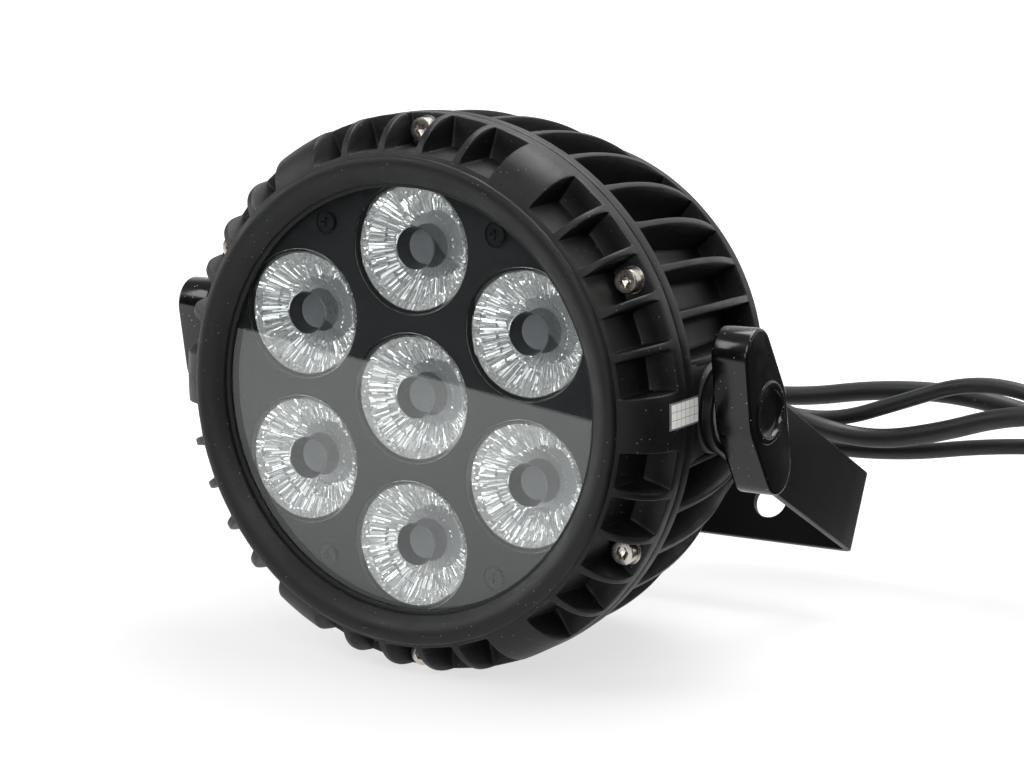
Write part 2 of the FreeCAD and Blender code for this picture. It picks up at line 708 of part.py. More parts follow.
DRIVER_BLOCKS = (         # middle X, middle Z, width, height and depth of each component
    (-20.0, 6.0, 26.0, 22.0, 19.0),
    (12.0, 14.0, 18.0, 12.0, 9.0),
    (26.0, -12.0, 10.0, 16.0, 12.0),
    (8.0, -16.0, 12.0, 6.0, 4.0),
)
driver_parts = body("driver_parts")
for x, z, width, height, depth in DRIVER_BLOCKS:
    raised(driver_parts, rectangle(blank_sketch(driver_parts, "XZ_Plane", DRIVER_FRONT + 1.6), x, z,
                                   width, height), depth, back=True)
raised(driver_parts, circles(blank_sketch(driver_parts, "XZ_Plane", DRIVER_FRONT + 1.6),
                             [(-28.0, -18.0), (-14.0, -18.0)], 5.0), 18.0, back=True)
place(driver_parts)

CONTROL_SPACE = 10.0      # distance from the control board's front to the rear cover
control_front = cover_front - CONTROL_SPACE
control_rear = control_front + 1.6
CONTROL_POSTS = [(x, z) for x in (-26.0, 26.0) for z in (8.0, 44.0)]
control_board = body("control_board")
control_outline = rectangle(blank_sketch(control_board, "XZ_Plane", control_front), 0, 26.0,
                            60.0, 44.0)
circles(control_outline, CONTROL_POSTS, small_hole)
raised(control_board, control_outline, 1.6, back=True)
place(control_board)

board_posts = body("board_posts")
for posts, start, length, radius in (
        (DRIVER_POSTS, web_rear, DRIVER_FRONT - web_rear, 3.0),
        (CONTROL_POSTS, control_rear, CONTROL_SPACE - 1.6, 2.6)):
    post_outline = blank_sketch(board_posts, "XZ_Plane", start)
    circles(post_outline, posts, radius)
    circles(post_outline, posts, small_hole)
    raised(board_posts, post_outline, length, back=True)
place(board_posts)

BUTTON_TRAVEL = 0.8
SWITCH_TOP = 2.4          # how far in front of the cover the switches end
control_parts = body("control_parts")
raised(control_parts, rectangle(blank_sketch(control_parts, "XZ_Plane", control_rear), 0,
                                size("display_row"), size("display_width") - 4.4,
                                size("display_height") - 4.4), CONTROL_SPACE - 1.6, back=True)
raised(control_parts, circles(blank_sketch(control_parts, "XZ_Plane", control_rear), button_places,
                              2.6), CONTROL_SPACE - 1.6 - SWITCH_TOP, back=True)
place(control_parts)

button_flange = 0.9
button_inner = cover_front - SWITCH_TOP + BUTTON_TRAVEL + 0.1
for name, (x, z) in zip(("menu_button", "down_button", "up_button", "enter_button"), button_places):
    button = body(name)
    raised(button, circles(blank_sketch(button, "XZ_Plane", button_inner), [(0, 0)],
                           size("button_radius") + 1.1), button_flange, back=True)
    raised(button, circles(blank_sketch(button, "XZ_Plane", button_inner), [(0, 0)],
                           size("button_radius")), cover_rear + 1.3 - button_inner, back=True)
    place(button, x=x, z=z)

# ---------------------------------------------------------------- cable glands

HEX_FLATS = 19.0
HEX_THICKNESS = 4.5
NUT_HEX = 6.0
gland_tip = size("power_cable") + 2.2
for name, (x, z) in zip(GLAND_NAMES, gland_places):
    gland = body(f"{name}_gland")
    raised(gland, circles(blank_sketch(gland, "XZ_Plane", cover_front - 7.0), [(0, 0)],
                          size("gland_radius")), size("cover_thickness") + 7.0 + HEX_THICKNESS,
           back=True)
    raised(gland, polygon(blank_sketch(gland, "XZ_Plane", cover_rear), 0, 0, HEX_FLATS),
           HEX_THICKNESS, back=True)
    dome_start = cover_rear + HEX_THICKNESS + 0.6
    raised(gland, polygon(blank_sketch(gland, "XZ_Plane", dome_start), 0, 0, HEX_FLATS), NUT_HEX,
           back=True)
    dome = outline(blank_sketch(gland, "XY_Plane"), [
        (0, cover_rear + 1.0),
        (size("gland_radius"), cover_rear + 1.0),
        (size("gland_radius"), dome_start + NUT_HEX),
        (gland_tip, gland_end, 16.0, "left"),
        (0, gland_end),
    ])
    revolved(gland, dome)
    place(gland, x=x, z=z)

locknuts = body("gland_locknuts")
LOCKNUT_THICKNESS = 4.0
nut_outline = blank_sketch(locknuts, "XZ_Plane", cover_front - LOCKNUT_THICKNESS)
for x, z in gland_places:
    polygon(nut_outline, x, z, 21.0)
circles(nut_outline, gland_places, size("gland_radius") + 0.05)
raised(locknuts, nut_outline, LOCKNUT_THICKNESS, back=True)
place(locknuts)

# ---------------------------------------------------------------- yoke, washers and knobs

arm_inner = size("pad_face") + size("washer_thickness") + size("slide_gap")
arm_outer = arm_inner + size("yoke_thickness")
outer_bend = size("yoke_bend") + size("yoke_thickness")
crossbar_inner = size("yoke_reach") - size("yoke_thickness")
arm_end = size("yoke_width") / 2
yoke = body("yoke")
raised(yoke, outline(blank_sketch(yoke, "XY_Plane"), [
    (arm_inner, -arm_end),
    (arm_outer, -arm_end),
    (arm_outer, size("yoke_reach") - outer_bend),
    (arm_outer - outer_bend, size("yoke_reach"), outer_bend, "left"),
    (outer_bend - arm_outer, size("yoke_reach")),
    (-arm_outer, size("yoke_reach") - outer_bend, outer_bend, "left"),
    (-arm_outer, -arm_end),
    (-arm_inner, -arm_end),
    (-arm_inner, crossbar_inner - size("yoke_bend")),
    (size("yoke_bend") - arm_inner, crossbar_inner, size("yoke_bend"), "right"),
    (arm_inner - size("yoke_bend"), crossbar_inner),
    (arm_inner, crossbar_inner - size("yoke_bend"), size("yoke_bend"), "right"),
]), size("yoke_width"), both=True)
TRIM = 3.0                # how far the end cut reaches past the strip
cut_in(yoke, outline(blank_sketch(yoke, "YZ_Plane"), [
    (0, arm_end),
    (0, arm_end + TRIM),
    (-arm_end - TRIM, arm_end + TRIM),
    (-arm_end - TRIM, -arm_end - TRIM),
    (0, -arm_end - TRIM),
    (0, -arm_end),
    (-arm_end, 0, arm_end, "right"),
]), 2 * arm_outer + 2 * TRIM, both=True)
cut_in(yoke, circles(blank_sketch(yoke, "YZ_Plane"), [(0, 0)],
                     size("stud_radius") + size("stud_clearance")),
       2 * arm_outer + 2 * TRIM, both=True)
hang_places = [(-size("hang_spacing"), 0), (0, 0), (size("hang_spacing"), 0)]
cut_in(yoke, circles(blank_sketch(yoke, "XZ_Plane", crossbar_inner - 1.0), hang_places,
                     size("hang_hole")), size("yoke_thickness") + 2.0)
place(yoke, y=size("pivot_depth"), axis=Vector(-1, 0, 0), angle=size("yoke_droop"))

knob_inner = arm_outer + size("slide_gap") + size("washer_thickness")
knob_outer = knob_inner + size("knob_thickness")
tip_middle = size("knob_half") - size("knob_tip")
taper_cosine = (size("knob_hub") - size("knob_tip")) / tip_middle
taper_sine = root(1 - taper_cosine * taper_cosine)
hub_x = size("knob_hub") * taper_cosine
hub_y = size("knob_hub") * taper_sine
tip_x = tip_middle + size("knob_tip") * taper_cosine
tip_y = size("knob_tip") * taper_sine
knob_outline = [
    (tip_x, tip_y, size("knob_tip"), "left"),
    (hub_x, hub_y),
    (-hub_x, hub_y, size("knob_hub"), "left"),
    (-tip_x, tip_y),
    (-tip_x, -tip_y, size("knob_tip"), "left"),
    (-hub_x, -hub_y),
    (hub_x, -hub_y, size("knob_hub"), "left"),
    (tip_x, -tip_y),
]
HUB_RING = 10.5           # radius of the raised ring round the knob's recessed hub
HUB_RECESS = 8.6
for side, name in ((1, "right"), (-1, "left")):
    washers = body(f"{name}_washers")
    for start in (size("pad_face"), arm_outer + size("slide_gap")):
        profile = blank_sketch(washers, "YZ_Plane", start * side)
        circles(profile, [(size("pivot_depth"), 0)], size("washer_radius"))
        circles(profile, [(size("pivot_depth"), 0)], size("stud_radius") + 0.3)
        raised(washers, profile, size("washer_thickness"), back=side < 0)
    place(washers)
    knob = body(f"{name}_knob")
    knob_profile = outline(blank_sketch(knob, "YZ_Plane", knob_inner * side), knob_outline)
    raised(knob, knob_profile, size("knob_thickness"), back=side < 0)
    ring_profile = circles(blank_sketch(knob, "YZ_Plane", knob_outer * side), [(0, 0)], HUB_RING)
    raised(knob, ring_profile, 0.6, back=side < 0)
    recess = circles(blank_sketch(knob, "YZ_Plane", (knob_outer + 0.6) * side), [(0, 0)], HUB_RECESS)
    cut_in(knob, recess, 1.6, front=side < 0)
    bore = circles(blank_sketch(knob, "YZ_Plane", knob_inner * side), [(0, 0)],
                   size("stud_radius") + 0.02)
    cut_in(knob, bore, size("knob_thickness") - 3.0, front=side > 0)
    place(knob, y=size("pivot_depth"), axis=Vector(1, 0, 0), angle=90 + size("knob_lean"))
    stud = body(f"{name}_stud")
    stud_start = size("pad_face") - size("insert_length") + 1.0
    raised(stud, circles(blank_sketch(stud, "YZ_Plane", stud_start * side), [(0, 0)],
                         size("stud_radius")), knob_outer - 3.2 - stud_start, back=side < 0)
    place(stud, y=size("pivot_depth"))

# ---------------------------------------------------------------- cable tails and in-line connectors

# A tail's route is a list of (X, Y, Z) points in mm: X and Y from its gland's mouth, and Z above the
# surface that the lamp stands on, for a mouth at ROUTE_HEIGHT. It leaves the gland straight back,
# passes over the yoke's crossbar, turns to the lamp's side and comes down until its connector lies
# on that surface.
ROUTE_HEIGHT = 82.0
ROUTES = {
    "power_in": [
        (0.0, 0.0, 82.0), (0.0, 27.2, 82.0), (11.5, 56.2, 77.5), (41.0, 77.2, 68.5), (78.0, 83.2, 67.0),
        (114.0, 84.2, 74.0), (148.0, 83.2, 75.5), (184.0, 82.2, 69.0), (220.0, 82.2, 56.0),
        (253.0, 84.2, 38.0), (283.0, 88.2, 21.0), (314.0, 93.2, 10.0), (345.0, 97.2, 10.0),
    ],
    "data_out": [
        (0.0, 0.0, 82.0), (0.0, 24.2, 82.0), (8.0, 48.7, 73.0), (34.0, 66.2, 58.5), (68.0, 73.2, 50.5),
        (104.0, 74.2, 51.5), (138.0, 74.2, 58.0), (170.0, 73.2, 61.0), (202.0, 72.2, 54.0),
        (232.0, 71.2, 38.5), (260.0, 71.2, 22.0), (289.0, 72.2, 10.0), (318.0, 73.2, 10.0),
    ],
    "data_in": [
        (0.0, 0.0, 82.0), (0.0, 23.5, 82.0), (7.0, 46.0, 74.5), (26.5, 63.0, 65.0), (53.0, 70.2, 62.0),
        (81.0, 69.5, 72.5), (108.0, 67.5, 83.0), (135.0, 64.2, 82.5), (162.0, 59.2, 72.5),
        (188.0, 54.2, 55.5), (212.0, 50.2, 36.0), (237.0, 47.2, 20.0), (264.0, 45.2, 10.0),
        (291.0, 44.2, 10.0),
    ],
    "power_out": [
        (0.0, 0.0, 82.0), (0.0, 22.0, 82.0), (6.0, 45.5, 73.0), (22.0, 60.0, 62.0), (47.0, 65.5, 57.0),
        (74.0, 64.0, 63.0), (102.0, 59.2, 73.0), (130.0, 52.7, 77.0), (157.0, 44.2, 69.0),
        (181.0, 35.7, 53.0), (204.0, 27.7, 35.5), (226.0, 20.2, 19.5), (249.0, 13.7, 10.0),
        (273.0, 9.2, 10.0),
    ],
}
CABLE_RADIUS = {
    "power_in": size("power_cable"),
    "power_out": size("power_cable"),
    "data_in": size("data_cable"),
    "data_out": size("data_cable"),
}
ARC_SHARE = 0.45          # the share of the shorter run that an arc takes at a corner


def cable_path(points):
    """Straight runs joined by tangent arcs as large as the runs allow."""
    edges = []
    radii = []
    start = points[0]
    for before, corner, after in zip(points, points[1:], points[2:]):
        arriving = corner - before
        leaving = after - corner
        setback = ARC_SHARE * min(arriving.Length, leaving.Length)
        half_turn = arriving.getAngle(leaving) / 2
        radius = setback / math.tan(half_turn)
        arriving.normalize()
        leaving.normalize()
        arc_start = corner - arriving * setback
        arc_end = corner + leaving * setback
        inwards = (leaving - arriving).normalize()
        arc_middle = corner + inwards * (radius / math.cos(half_turn) - radius)
        edges.append(Part.LineSegment(start, arc_start).toShape())
        edges.append(Part.Arc(arc_start, arc_middle, arc_end).toShape())
        radii.append(radius)
        start = arc_end
    edges.append(Part.LineSegment(start, points[-1]).toShape())
    return Part.Wire(edges), radii


def placed_route(route, mouth_x):
    """A route's points in the placed frame, ending at the height of a connector's axis."""
    mouth_y = gland_end.value - foot_middle.value
    rise = (size("flange_radius").value - size("gland_drop").value) / ROUTE_HEIGHT
    points = [Vector(mouth_x + x, mouth_y + y, z * rise) for x, y, z in route]
    for point in points[-2:]:
        point.z = size("plug_radius").value
    return points


BOOT_END = 14.0           # where a connector's rubber boot meets its barrel
BARREL_END = 43.0
NOSE_END = 58.0           # length of a connector
NOSE_STEP = 2.2           # how far a connector's nose is turned down from its barrel
CONTACT_CIRCLE = 3.6      # radius of the circle of a connector's contacts
CONTACT_RADIUS = 0.9
COUPLING_START = 45.5     # where a coupling nut starts along its connector
for (name, route), (mouth_x, _) in zip(ROUTES.items(), gland_places):
    cable_radius = CABLE_RADIUS[name]
    radius = cable_radius.value
    points = placed_route(route, mouth_x)
    path, radii = cable_path(points)
    section = Part.Wire([Part.Circle(points[0], points[1] - points[0], radius).toShape()])
    cable = doc.addObject("Part::Feature", f"{name}_cable")
    cable.Shape = path.makePipeShell([section], True, False)
    node(cable, f"{name}_cable")
    ideal = math.pi * radius * radius * path.Length
    print(f"{name} cable: length {path.Length:.0f} mm, radii {min(radii):.0f} to {max(radii):.0f} mm, "
          f"volume {cable.Shape.Volume / ideal:.4f} of section times length")

    heading = math.degrees(math.atan2(points[-1].y - points[-2].y, points[-1].x - points[-2].x))
    connector_place = Placement(points[-1], Rotation(Vector(0, 0, 1), heading - 90))
    plug = body(f"{name}_plug")
    barrel = size("plug_radius")
    nose = barrel - NOSE_STEP
    revolved(plug, outline(blank_sketch(plug, "XY_Plane"), [
        (0, 0),
        (cable_radius + 1.4, 0),
        (cable_radius + 3.0, BOOT_END),
        (barrel - 1.2, BOOT_END),
        (barrel - 0.6, BARREL_END - 17.0),
        (barrel, BARREL_END - 16.0),
        (barrel, BARREL_END),
        (nose, BARREL_END + 1.0),
        (nose, NOSE_END),
        (0, NOSE_END),
    ]))
    grip = rectangle(blank_sketch(plug, "XZ_Plane", BOOT_END + 1.5), barrel, 0, 1.6, 1.6)
    round_pattern(plug, [cut_in(plug, grip, 9.5)], 16)
    contacts = circles(blank_sketch(plug, "XZ_Plane", NOSE_END),
                       ring_points(as_size(CONTACT_CIRCLE), (30, 150, 270)), CONTACT_RADIUS)
    takes_nut = name.endswith("_in")
    if takes_nut:
        raised(plug, contacts, 5.0, back=True)
    else:
        cut_in(plug, contacts, 6.0, front=True)
    plug.Placement = connector_place
    if takes_nut:
        nut = body(f"{name}_coupling_nut")
        nut_profile = blank_sketch(nut, "XZ_Plane", COUPLING_START)
        circles(nut_profile, [(0, 0)], barrel - 0.3)
        circles(nut_profile, [(0, 0)], nose + 0.05)
        raised(nut, nut_profile, NOSE_END - COUPLING_START, back=True)
        flute = circles(blank_sketch(nut, "XZ_Plane", COUPLING_START), [(barrel + 0.3, 0)], 1.4)
        round_pattern(nut, [cut_in(nut, flute, 9.0)], 18)
        nut.Placement = connector_place

# ---------------------------------------------------------------- sticker on the ring's side block

STICKER_THICKNESS = 0.12
STICKER_GLUE = 0.03       # how far the sticker stands off the castings
STICKER_FRONT = 4.5       # how far the sticker reaches onto the block's rounded front
STICKER_GAP = 0.4         # room between the sticker's rear edge and the pivot pad
STICKER_ANGLE = as_size(5.4)
STICKER_MIDDLE = as_size(-1.2)
under = size("rib_sweep") + STICKER_GLUE
over = under + STICKER_THICKNESS
under_front = rib_middle + root(under * under - STICKER_FRONT * STICKER_FRONT)
over_front = rib_middle + root(over * over - STICKER_FRONT * STICKER_FRONT)
sticker_rear = size("pivot_depth") - size("pad_radius") - STICKER_GAP
sticker = body("check_sticker")
sticker_profile = outline(blank_sketch(sticker, "XY_Plane", spin=STICKER_MIDDLE), [
    (under_front, rib_end - STICKER_FRONT, under, "right"),
    (over_front, rib_end - STICKER_FRONT),
    (rib_middle + over, rib_end, over, "left"),
    (rib_middle + over, sticker_rear),
    (rib_middle + under, sticker_rear),
    (rib_middle + under, rib_end),
])
revolved(sticker, sticker_profile, angle=STICKER_ANGLE)
place(sticker)

# ---------------------------------------------------------------- checks and export

doc.recompute()
for item in doc.Objects:
    if "Invalid" in item.State or "Error" in item.State:
        raise RuntimeError(f"{item.Label} did not compute: {item.State}")
    cuts = item.isDerivedFrom("PartDesign::Pocket") or item.isDerivedFrom("PartDesign::Groove")
    if cuts and item.BaseFeature.Shape.Volume - item.Shape.Volume < 0.01:
        raise RuntimeError(f"{item.Label} cuts nothing")
for item in NODES:
    if item.Shape.isNull() or not item.Shape.isValid() or not item.Shape.Solids:
        raise RuntimeError(f"{item.Label} has no valid shape")
os.makedirs("parts", exist_ok=True)
for item in NODES:
    item.Shape.exportStep(f"parts/{item.Label}.step")
box = FreeCAD.BoundBox()
for item in NODES:
    if not item.Label.endswith(("_cable", "_plug", "_coupling_nut")):
        box.add(item.Shape.optimalBoundingBox(False))
print(f"{len(NODES)} sub-parts; without the cable tails X {box.XMin:.2f} to {box.XMax:.2f}, "
      f"Y {box.YMin:.2f} to {box.YMax:.2f}, Z {box.ZMin:.2f} to {box.ZMax:.2f}")
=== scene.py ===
# %% [markdown]
# # LED par can light
# A round stage light stands on its rim. This lesson dresses its working frame for a picture: the
# casting, the lenses, the yoke with its clamp knobs and the cable tails. The frame comes first, because
# every size and place in the lesson is read from it.

# %% The frame
import json
import math
import random

import bpy
from mathutils import Matrix, Vector


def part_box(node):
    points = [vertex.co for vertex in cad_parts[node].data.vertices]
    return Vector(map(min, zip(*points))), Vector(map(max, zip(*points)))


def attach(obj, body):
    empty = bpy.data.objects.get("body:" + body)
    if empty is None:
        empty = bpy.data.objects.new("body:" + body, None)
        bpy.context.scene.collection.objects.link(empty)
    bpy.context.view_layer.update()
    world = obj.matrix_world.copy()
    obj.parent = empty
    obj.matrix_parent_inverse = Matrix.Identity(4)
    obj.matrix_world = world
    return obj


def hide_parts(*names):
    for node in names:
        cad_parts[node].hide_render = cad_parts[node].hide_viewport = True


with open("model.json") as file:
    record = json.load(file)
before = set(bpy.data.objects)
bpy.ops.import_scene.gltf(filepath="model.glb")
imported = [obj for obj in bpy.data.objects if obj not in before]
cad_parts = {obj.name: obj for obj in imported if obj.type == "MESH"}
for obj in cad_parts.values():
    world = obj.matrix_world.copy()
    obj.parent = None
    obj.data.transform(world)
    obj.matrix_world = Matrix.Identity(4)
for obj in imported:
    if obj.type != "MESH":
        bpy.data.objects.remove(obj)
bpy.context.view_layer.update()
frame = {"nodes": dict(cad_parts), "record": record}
MM = 0.001

# %% [markdown]
# ## Where the lamp's axis lies
# Everything round about the lamp is measured from its axis, at the plane of the lens rims. The lens
# panel's box gives both, so the lesson works in "lamp" coordinates: X to the side, depth towards the
# rear, Z up from the axis.

# %% The lamp's own coordinates
panel_low, panel_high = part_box("lens_panel")
LAMP_ORIGIN = Vector((0, panel_low.y, (panel_low.z + panel_high.z) / 2))


def lamp_point(x, depth, up):
    """A point in metres from lamp coordinates in millimetres."""
    return LAMP_ORIGIN + Vector((x, depth, up)) * MM


def polar(radius, degrees, depth):
    """Lamp coordinates in millimetres of a point round the axis, from three o'clock upwards."""
    angle = math.radians(degrees)
    return Vector((radius * math.cos(angle), depth, radius * math.sin(angle)))


print(f"lamp axis {LAMP_ORIGIN.z / MM:.1f} mm up, lens plane at Y {LAMP_ORIGIN.y / MM:.1f} mm")

# %% [markdown]
# ## The camera
# A product view: about thirty degrees to the side, ten degrees from above, with a long lens that
# keeps the round rim from looking stretched. The camera comes first, because what it sees decides
# where the cable tails may go.

# %% The camera
CAMERA_TURN = 30.38        # degrees round to the lamp's side
CAMERA_RISE = 9.99         # degrees that it looks down
CAMERA_ROLL = 0.29
CAMERA_PLACE = Vector((0.5298, -0.8373, 0.1795))   # metres from the lamp's origin
camera_data = bpy.data.cameras.new("camera")
camera_data.lens = 104.55
camera_data.sensor_width = 36.0
camera = bpy.data.objects.new("camera", camera_data)
bpy.context.scene.collection.objects.link(camera)
camera.matrix_world = (
    Matrix.Translation(LAMP_ORIGIN + CAMERA_PLACE)
    @ Matrix.Rotation(math.radians(CAMERA_TURN), 4, "Z")
    @ Matrix.Rotation(math.radians(90 - CAMERA_RISE), 4, "X")
    @ Matrix.Rotation(math.radians(CAMERA_ROLL), 4, "Z"))
bpy.context.scene.camera = camera

# %% [markdown]
# ## One helper for nodes
# Materials and geometry trees are both made of nodes with settings and links. One function adds a
# node, sets its sockets and makes its links, so a tree reads as a list of what feeds what.

# %% Nodes and colours
HEX_LINEAR_LIMIT = 0.04045


def colour(code):
    """An sRGB hex colour as the linear values that a shader works in."""
    parts = [int(code[i:i + 2], 16) / 255 for i in (1, 3, 5)]
    linear = [c / 12.92 if c <= HEX_LINEAR_LIMIT else ((c + 0.055) / 1.055) ** 2.4 for c in parts]
    return (*linear, 1.0)


def add_node(tree, kind, settings=None, **sockets):
    """A node of a kind. A socket given an output is linked, and one given a value is set."""
    made = tree.nodes.new(kind)
    for key, value in (settings or {}).items():
        setattr(made, key, value)
    for key, value in sockets.items():
        name = key.replace("_", " ")
        socket = made.inputs[int(name[5:])] if name.startswith("input") else made.inputs[name]
        if isinstance(value, bpy.types.NodeSocket):
            tree.links.new(value, socket)
        else:
            socket.default_value = value
    return made


def new_material(name):
    """An empty material with its shader and output. Returns the material, its tree and the shader."""
    material = bpy.data.materials.new(name)
    material.use_nodes = True
    tree = material.node_tree
    tree.nodes.clear()
    shader = add_node(tree, "ShaderNodeBsdfPrincipled")
    add_node(tree, "ShaderNodeOutputMaterial", Surface=shader.outputs["BSDF"])
    return material, tree, shader


# %% [markdown]
# ## Cable tails
# Four rubber cables leave the glands at the back: two thicker ones for power and two thinner ones for
# data. Each is stiff enough to hold a long loose wave before it comes down to its connector. A NURBS
# curve of order three through a few given points bends like a real cable, because it never
# follows its points exactly.

# %% The cables' routes
POWER_CABLE = 7.5 * MM     # outside diameters
DATA_CABLE = 6.0 * MM
MOUTH_HEIGHT = 82.0        # the glands' height that the points are given for, in mm
ROUTES = {                 # mm: X and Y from the gland's mouth, Z from the ground
    "power_in": (POWER_CABLE, 0.413, [
        (0.0, 0.0, 82.0), (0.0, 27.2, 82.0), (11.5, 56.2, 77.5), (41.0, 77.2, 68.5),
        (78.0, 83.2, 67.0), (114.0, 84.2, 74.0), (148.0, 83.2, 75.5), (184.0, 82.2, 69.0),
        (220.0, 82.2, 56.0), (253.0, 84.2, 38.0), (283.0, 88.2, 21.0), (314.0, 93.2, 10.0),
        (345.0, 97.2, 10.0)]),
    "data_out": (DATA_CABLE, 0.381, [
        (0.0, 0.0, 82.0), (0.0, 24.2, 82.0), (8.0, 48.7, 73.0), (34.0, 66.2, 58.5),
        (68.0, 73.2, 50.5), (104.0, 74.2, 51.5), (138.0, 74.2, 58.0), (170.0, 73.2, 61.0),
        (202.0, 72.2, 54.0), (232.0, 71.2, 38.5), (260.0, 71.2, 22.0), (289.0, 72.2, 10.0),
        (318.0, 73.2, 10.0)]),
    "data_in": (DATA_CABLE, 0.364, [
        (0.0, 0.0, 82.0), (0.0, 23.5, 82.0), (7.0, 46.0, 74.5), (26.5, 63.0, 65.0),
        (53.0, 70.2, 62.0), (81.0, 69.5, 72.5), (108.0, 67.5, 83.0), (135.0, 64.2, 82.5),
        (162.0, 59.2, 72.5), (188.0, 54.2, 55.5), (212.0, 50.2, 36.0), (237.0, 47.2, 20.0),
        (264.0, 45.2, 10.0), (291.0, 44.2, 10.0)]),
    "power_out": (POWER_CABLE, 0.350, [
        (0.0, 0.0, 82.0), (0.0, 22.0, 82.0), (6.0, 45.5, 73.0), (22.0, 60.0, 62.0),
        (47.0, 65.5, 57.0), (74.0, 64.0, 63.0), (102.0, 59.2, 73.0), (130.0, 52.7, 77.0),
        (157.0, 44.2, 69.0), (181.0, 35.7, 53.0), (204.0, 27.7, 35.5), (226.0, 20.2, 19.5),
        (249.0, 13.7, 10.0), (273.0, 9.2, 10.0)]),
}

# %% Drawing the cables
cables = {}
for name, (diameter, length, route) in ROUTES.items():
    gland_low, gland_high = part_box(f"{name}_gland")
    mouth = Vector(((gland_low.x + gland_high.x) / 2, gland_high.y, MOUTH_HEIGHT * MM))
    line = bpy.data.curves.new(f"{name}_flex", "CURVE")
    line.dimensions = "3D"
    line.bevel_depth = 1.0     # each point's radius scales it, and is the cable's own
    line.bevel_resolution = 6
    line.resolution_u = 10
    line.use_fill_caps = True
    spline = line.splines.new("NURBS")
    spline.points.add(len(route) - 1)
    for point, (x, y, z) in zip(spline.points, route):
        point.co = (mouth.x + x * MM, mouth.y + y * MM, z * MM, 1.0)
        point.radius = diameter / 2
    spline.order_u = 3
    spline.use_endpoint_u = True
    cable = bpy.data.objects.new(f"{name}_flex", line)
    bpy.context.scene.collection.objects.link(cable)
    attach(cable, "head")
    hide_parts(f"{name}_cable")
    cables[name] = cable
    print(f"{name}: {length * 1000:.0f} mm of {diameter * 1000:.1f} mm cable")

# %% [markdown]
# ## Finishes: one recipe for solid, opaque materials
# Nearly every part of this lamp is black, so the finish has to come from how light breaks on the
# surface, not from its colour. One recipe covers them: a base colour that drifts a little, a
# roughness that drifts with it, and a fine bump whose grain has a real size. Specks of dust or
# chipped coating are a separate sparse pattern.


# %% The recipe
DRIFT_REACH = 3            # drifts from the base to either tone: noise seldom comes near its ends
CLOUDS = (0.3, 0.7)        # the stretch of the noise that the roughness follows
SPECK_EDGE = (0.16, 0.24)  # where a speck fades out, as a share of the distance between specks
SPECK_ROUGHNESS = 0.85


def grain(tree, coordinates, size_mm, detail=3.0):
    """A soft noise whose blobs are about one size across."""
    return add_node(tree, "ShaderNodeTexNoise", Vector=coordinates, Scale=1.0 / (size_mm * MM),
                    Detail=detail, Roughness=0.55).outputs["Fac"]


def ramp(tree, factor, low, high, at=(0.0, 1.0)):
    """A factor turned into a range, clamped at both ends."""
    made = add_node(tree, "ShaderNodeMapRange", Value=factor)
    for socket, value in zip(("From Min", "From Max", "To Min", "To Max"), (*at, low, high)):
        made.inputs[socket].default_value = value
    return made.outputs["Result"]


def solid(name, base, roughness, metallic=0.0, drift_mm=9.0, drift=0.08, grain_mm=0.5, bump_mm=0.0,
          speck_mm=0.0, speck_share=0.0, speck="#8d8b86", specular=0.5):
    """An opaque finish: its colour, roughness range, grain, bump height and sparse specks."""
    material, tree, shader = new_material(name)
    place = add_node(tree, "ShaderNodeTexCoord").outputs["Object"]
    clouds = grain(tree, place, drift_mm)
    fine = grain(tree, place, grain_mm, detail=4.0)
    darker = [c * (1 - drift * DRIFT_REACH) for c in colour(base)[:3]]
    lighter = [min(1.0, c * (1 + drift * DRIFT_REACH)) for c in colour(base)[:3]]
    tone = add_node(tree, "ShaderNodeMix", {"data_type": "RGBA"}, Factor=clouds,
                    input6=(*darker, 1.0), input7=(*lighter, 1.0)).outputs[2]
    mixed_roughness = ramp(tree, clouds, roughness[0], roughness[1], at=CLOUDS)
    if speck_share > 0:
        dots = add_node(tree, "ShaderNodeTexVoronoi", Vector=place, Scale=1.0 / (speck_mm * MM))
        near = ramp(tree, dots.outputs["Distance"], 1.0, 0.0, at=SPECK_EDGE)
        chance = add_node(tree, "ShaderNodeSeparateColor", Color=dots.outputs["Color"]).outputs["Red"]
        chosen = ramp(tree, chance, 1.0, 0.0, at=(speck_share, speck_share + 0.01))
        mask = add_node(tree, "ShaderNodeMath", {"operation": "MULTIPLY"}, input0=near,
                        input1=chosen).outputs[0]
        tone = add_node(tree, "ShaderNodeMix", {"data_type": "RGBA"}, Factor=mask,
                        input6=tone, input7=colour(speck)).outputs[2]
        mixed_roughness = add_node(tree, "ShaderNodeMix", Factor=mask, input2=mixed_roughness,
                                   input3=SPECK_ROUGHNESS).outputs[0]
    tree.links.new(tone, shader.inputs["Base Color"])
    tree.links.new(mixed_roughness, shader.inputs["Roughness"])
    shader.inputs["Metallic"].default_value = metallic
    shader.inputs["Specular IOR Level"].default_value = specular
    if bump_mm > 0:
        bump = add_node(tree, "ShaderNodeBump", Strength=1.0, Distance=bump_mm * MM, Height=fine)
        tree.links.new(bump.outputs["Normal"], shader.inputs["Normal"])
    return material
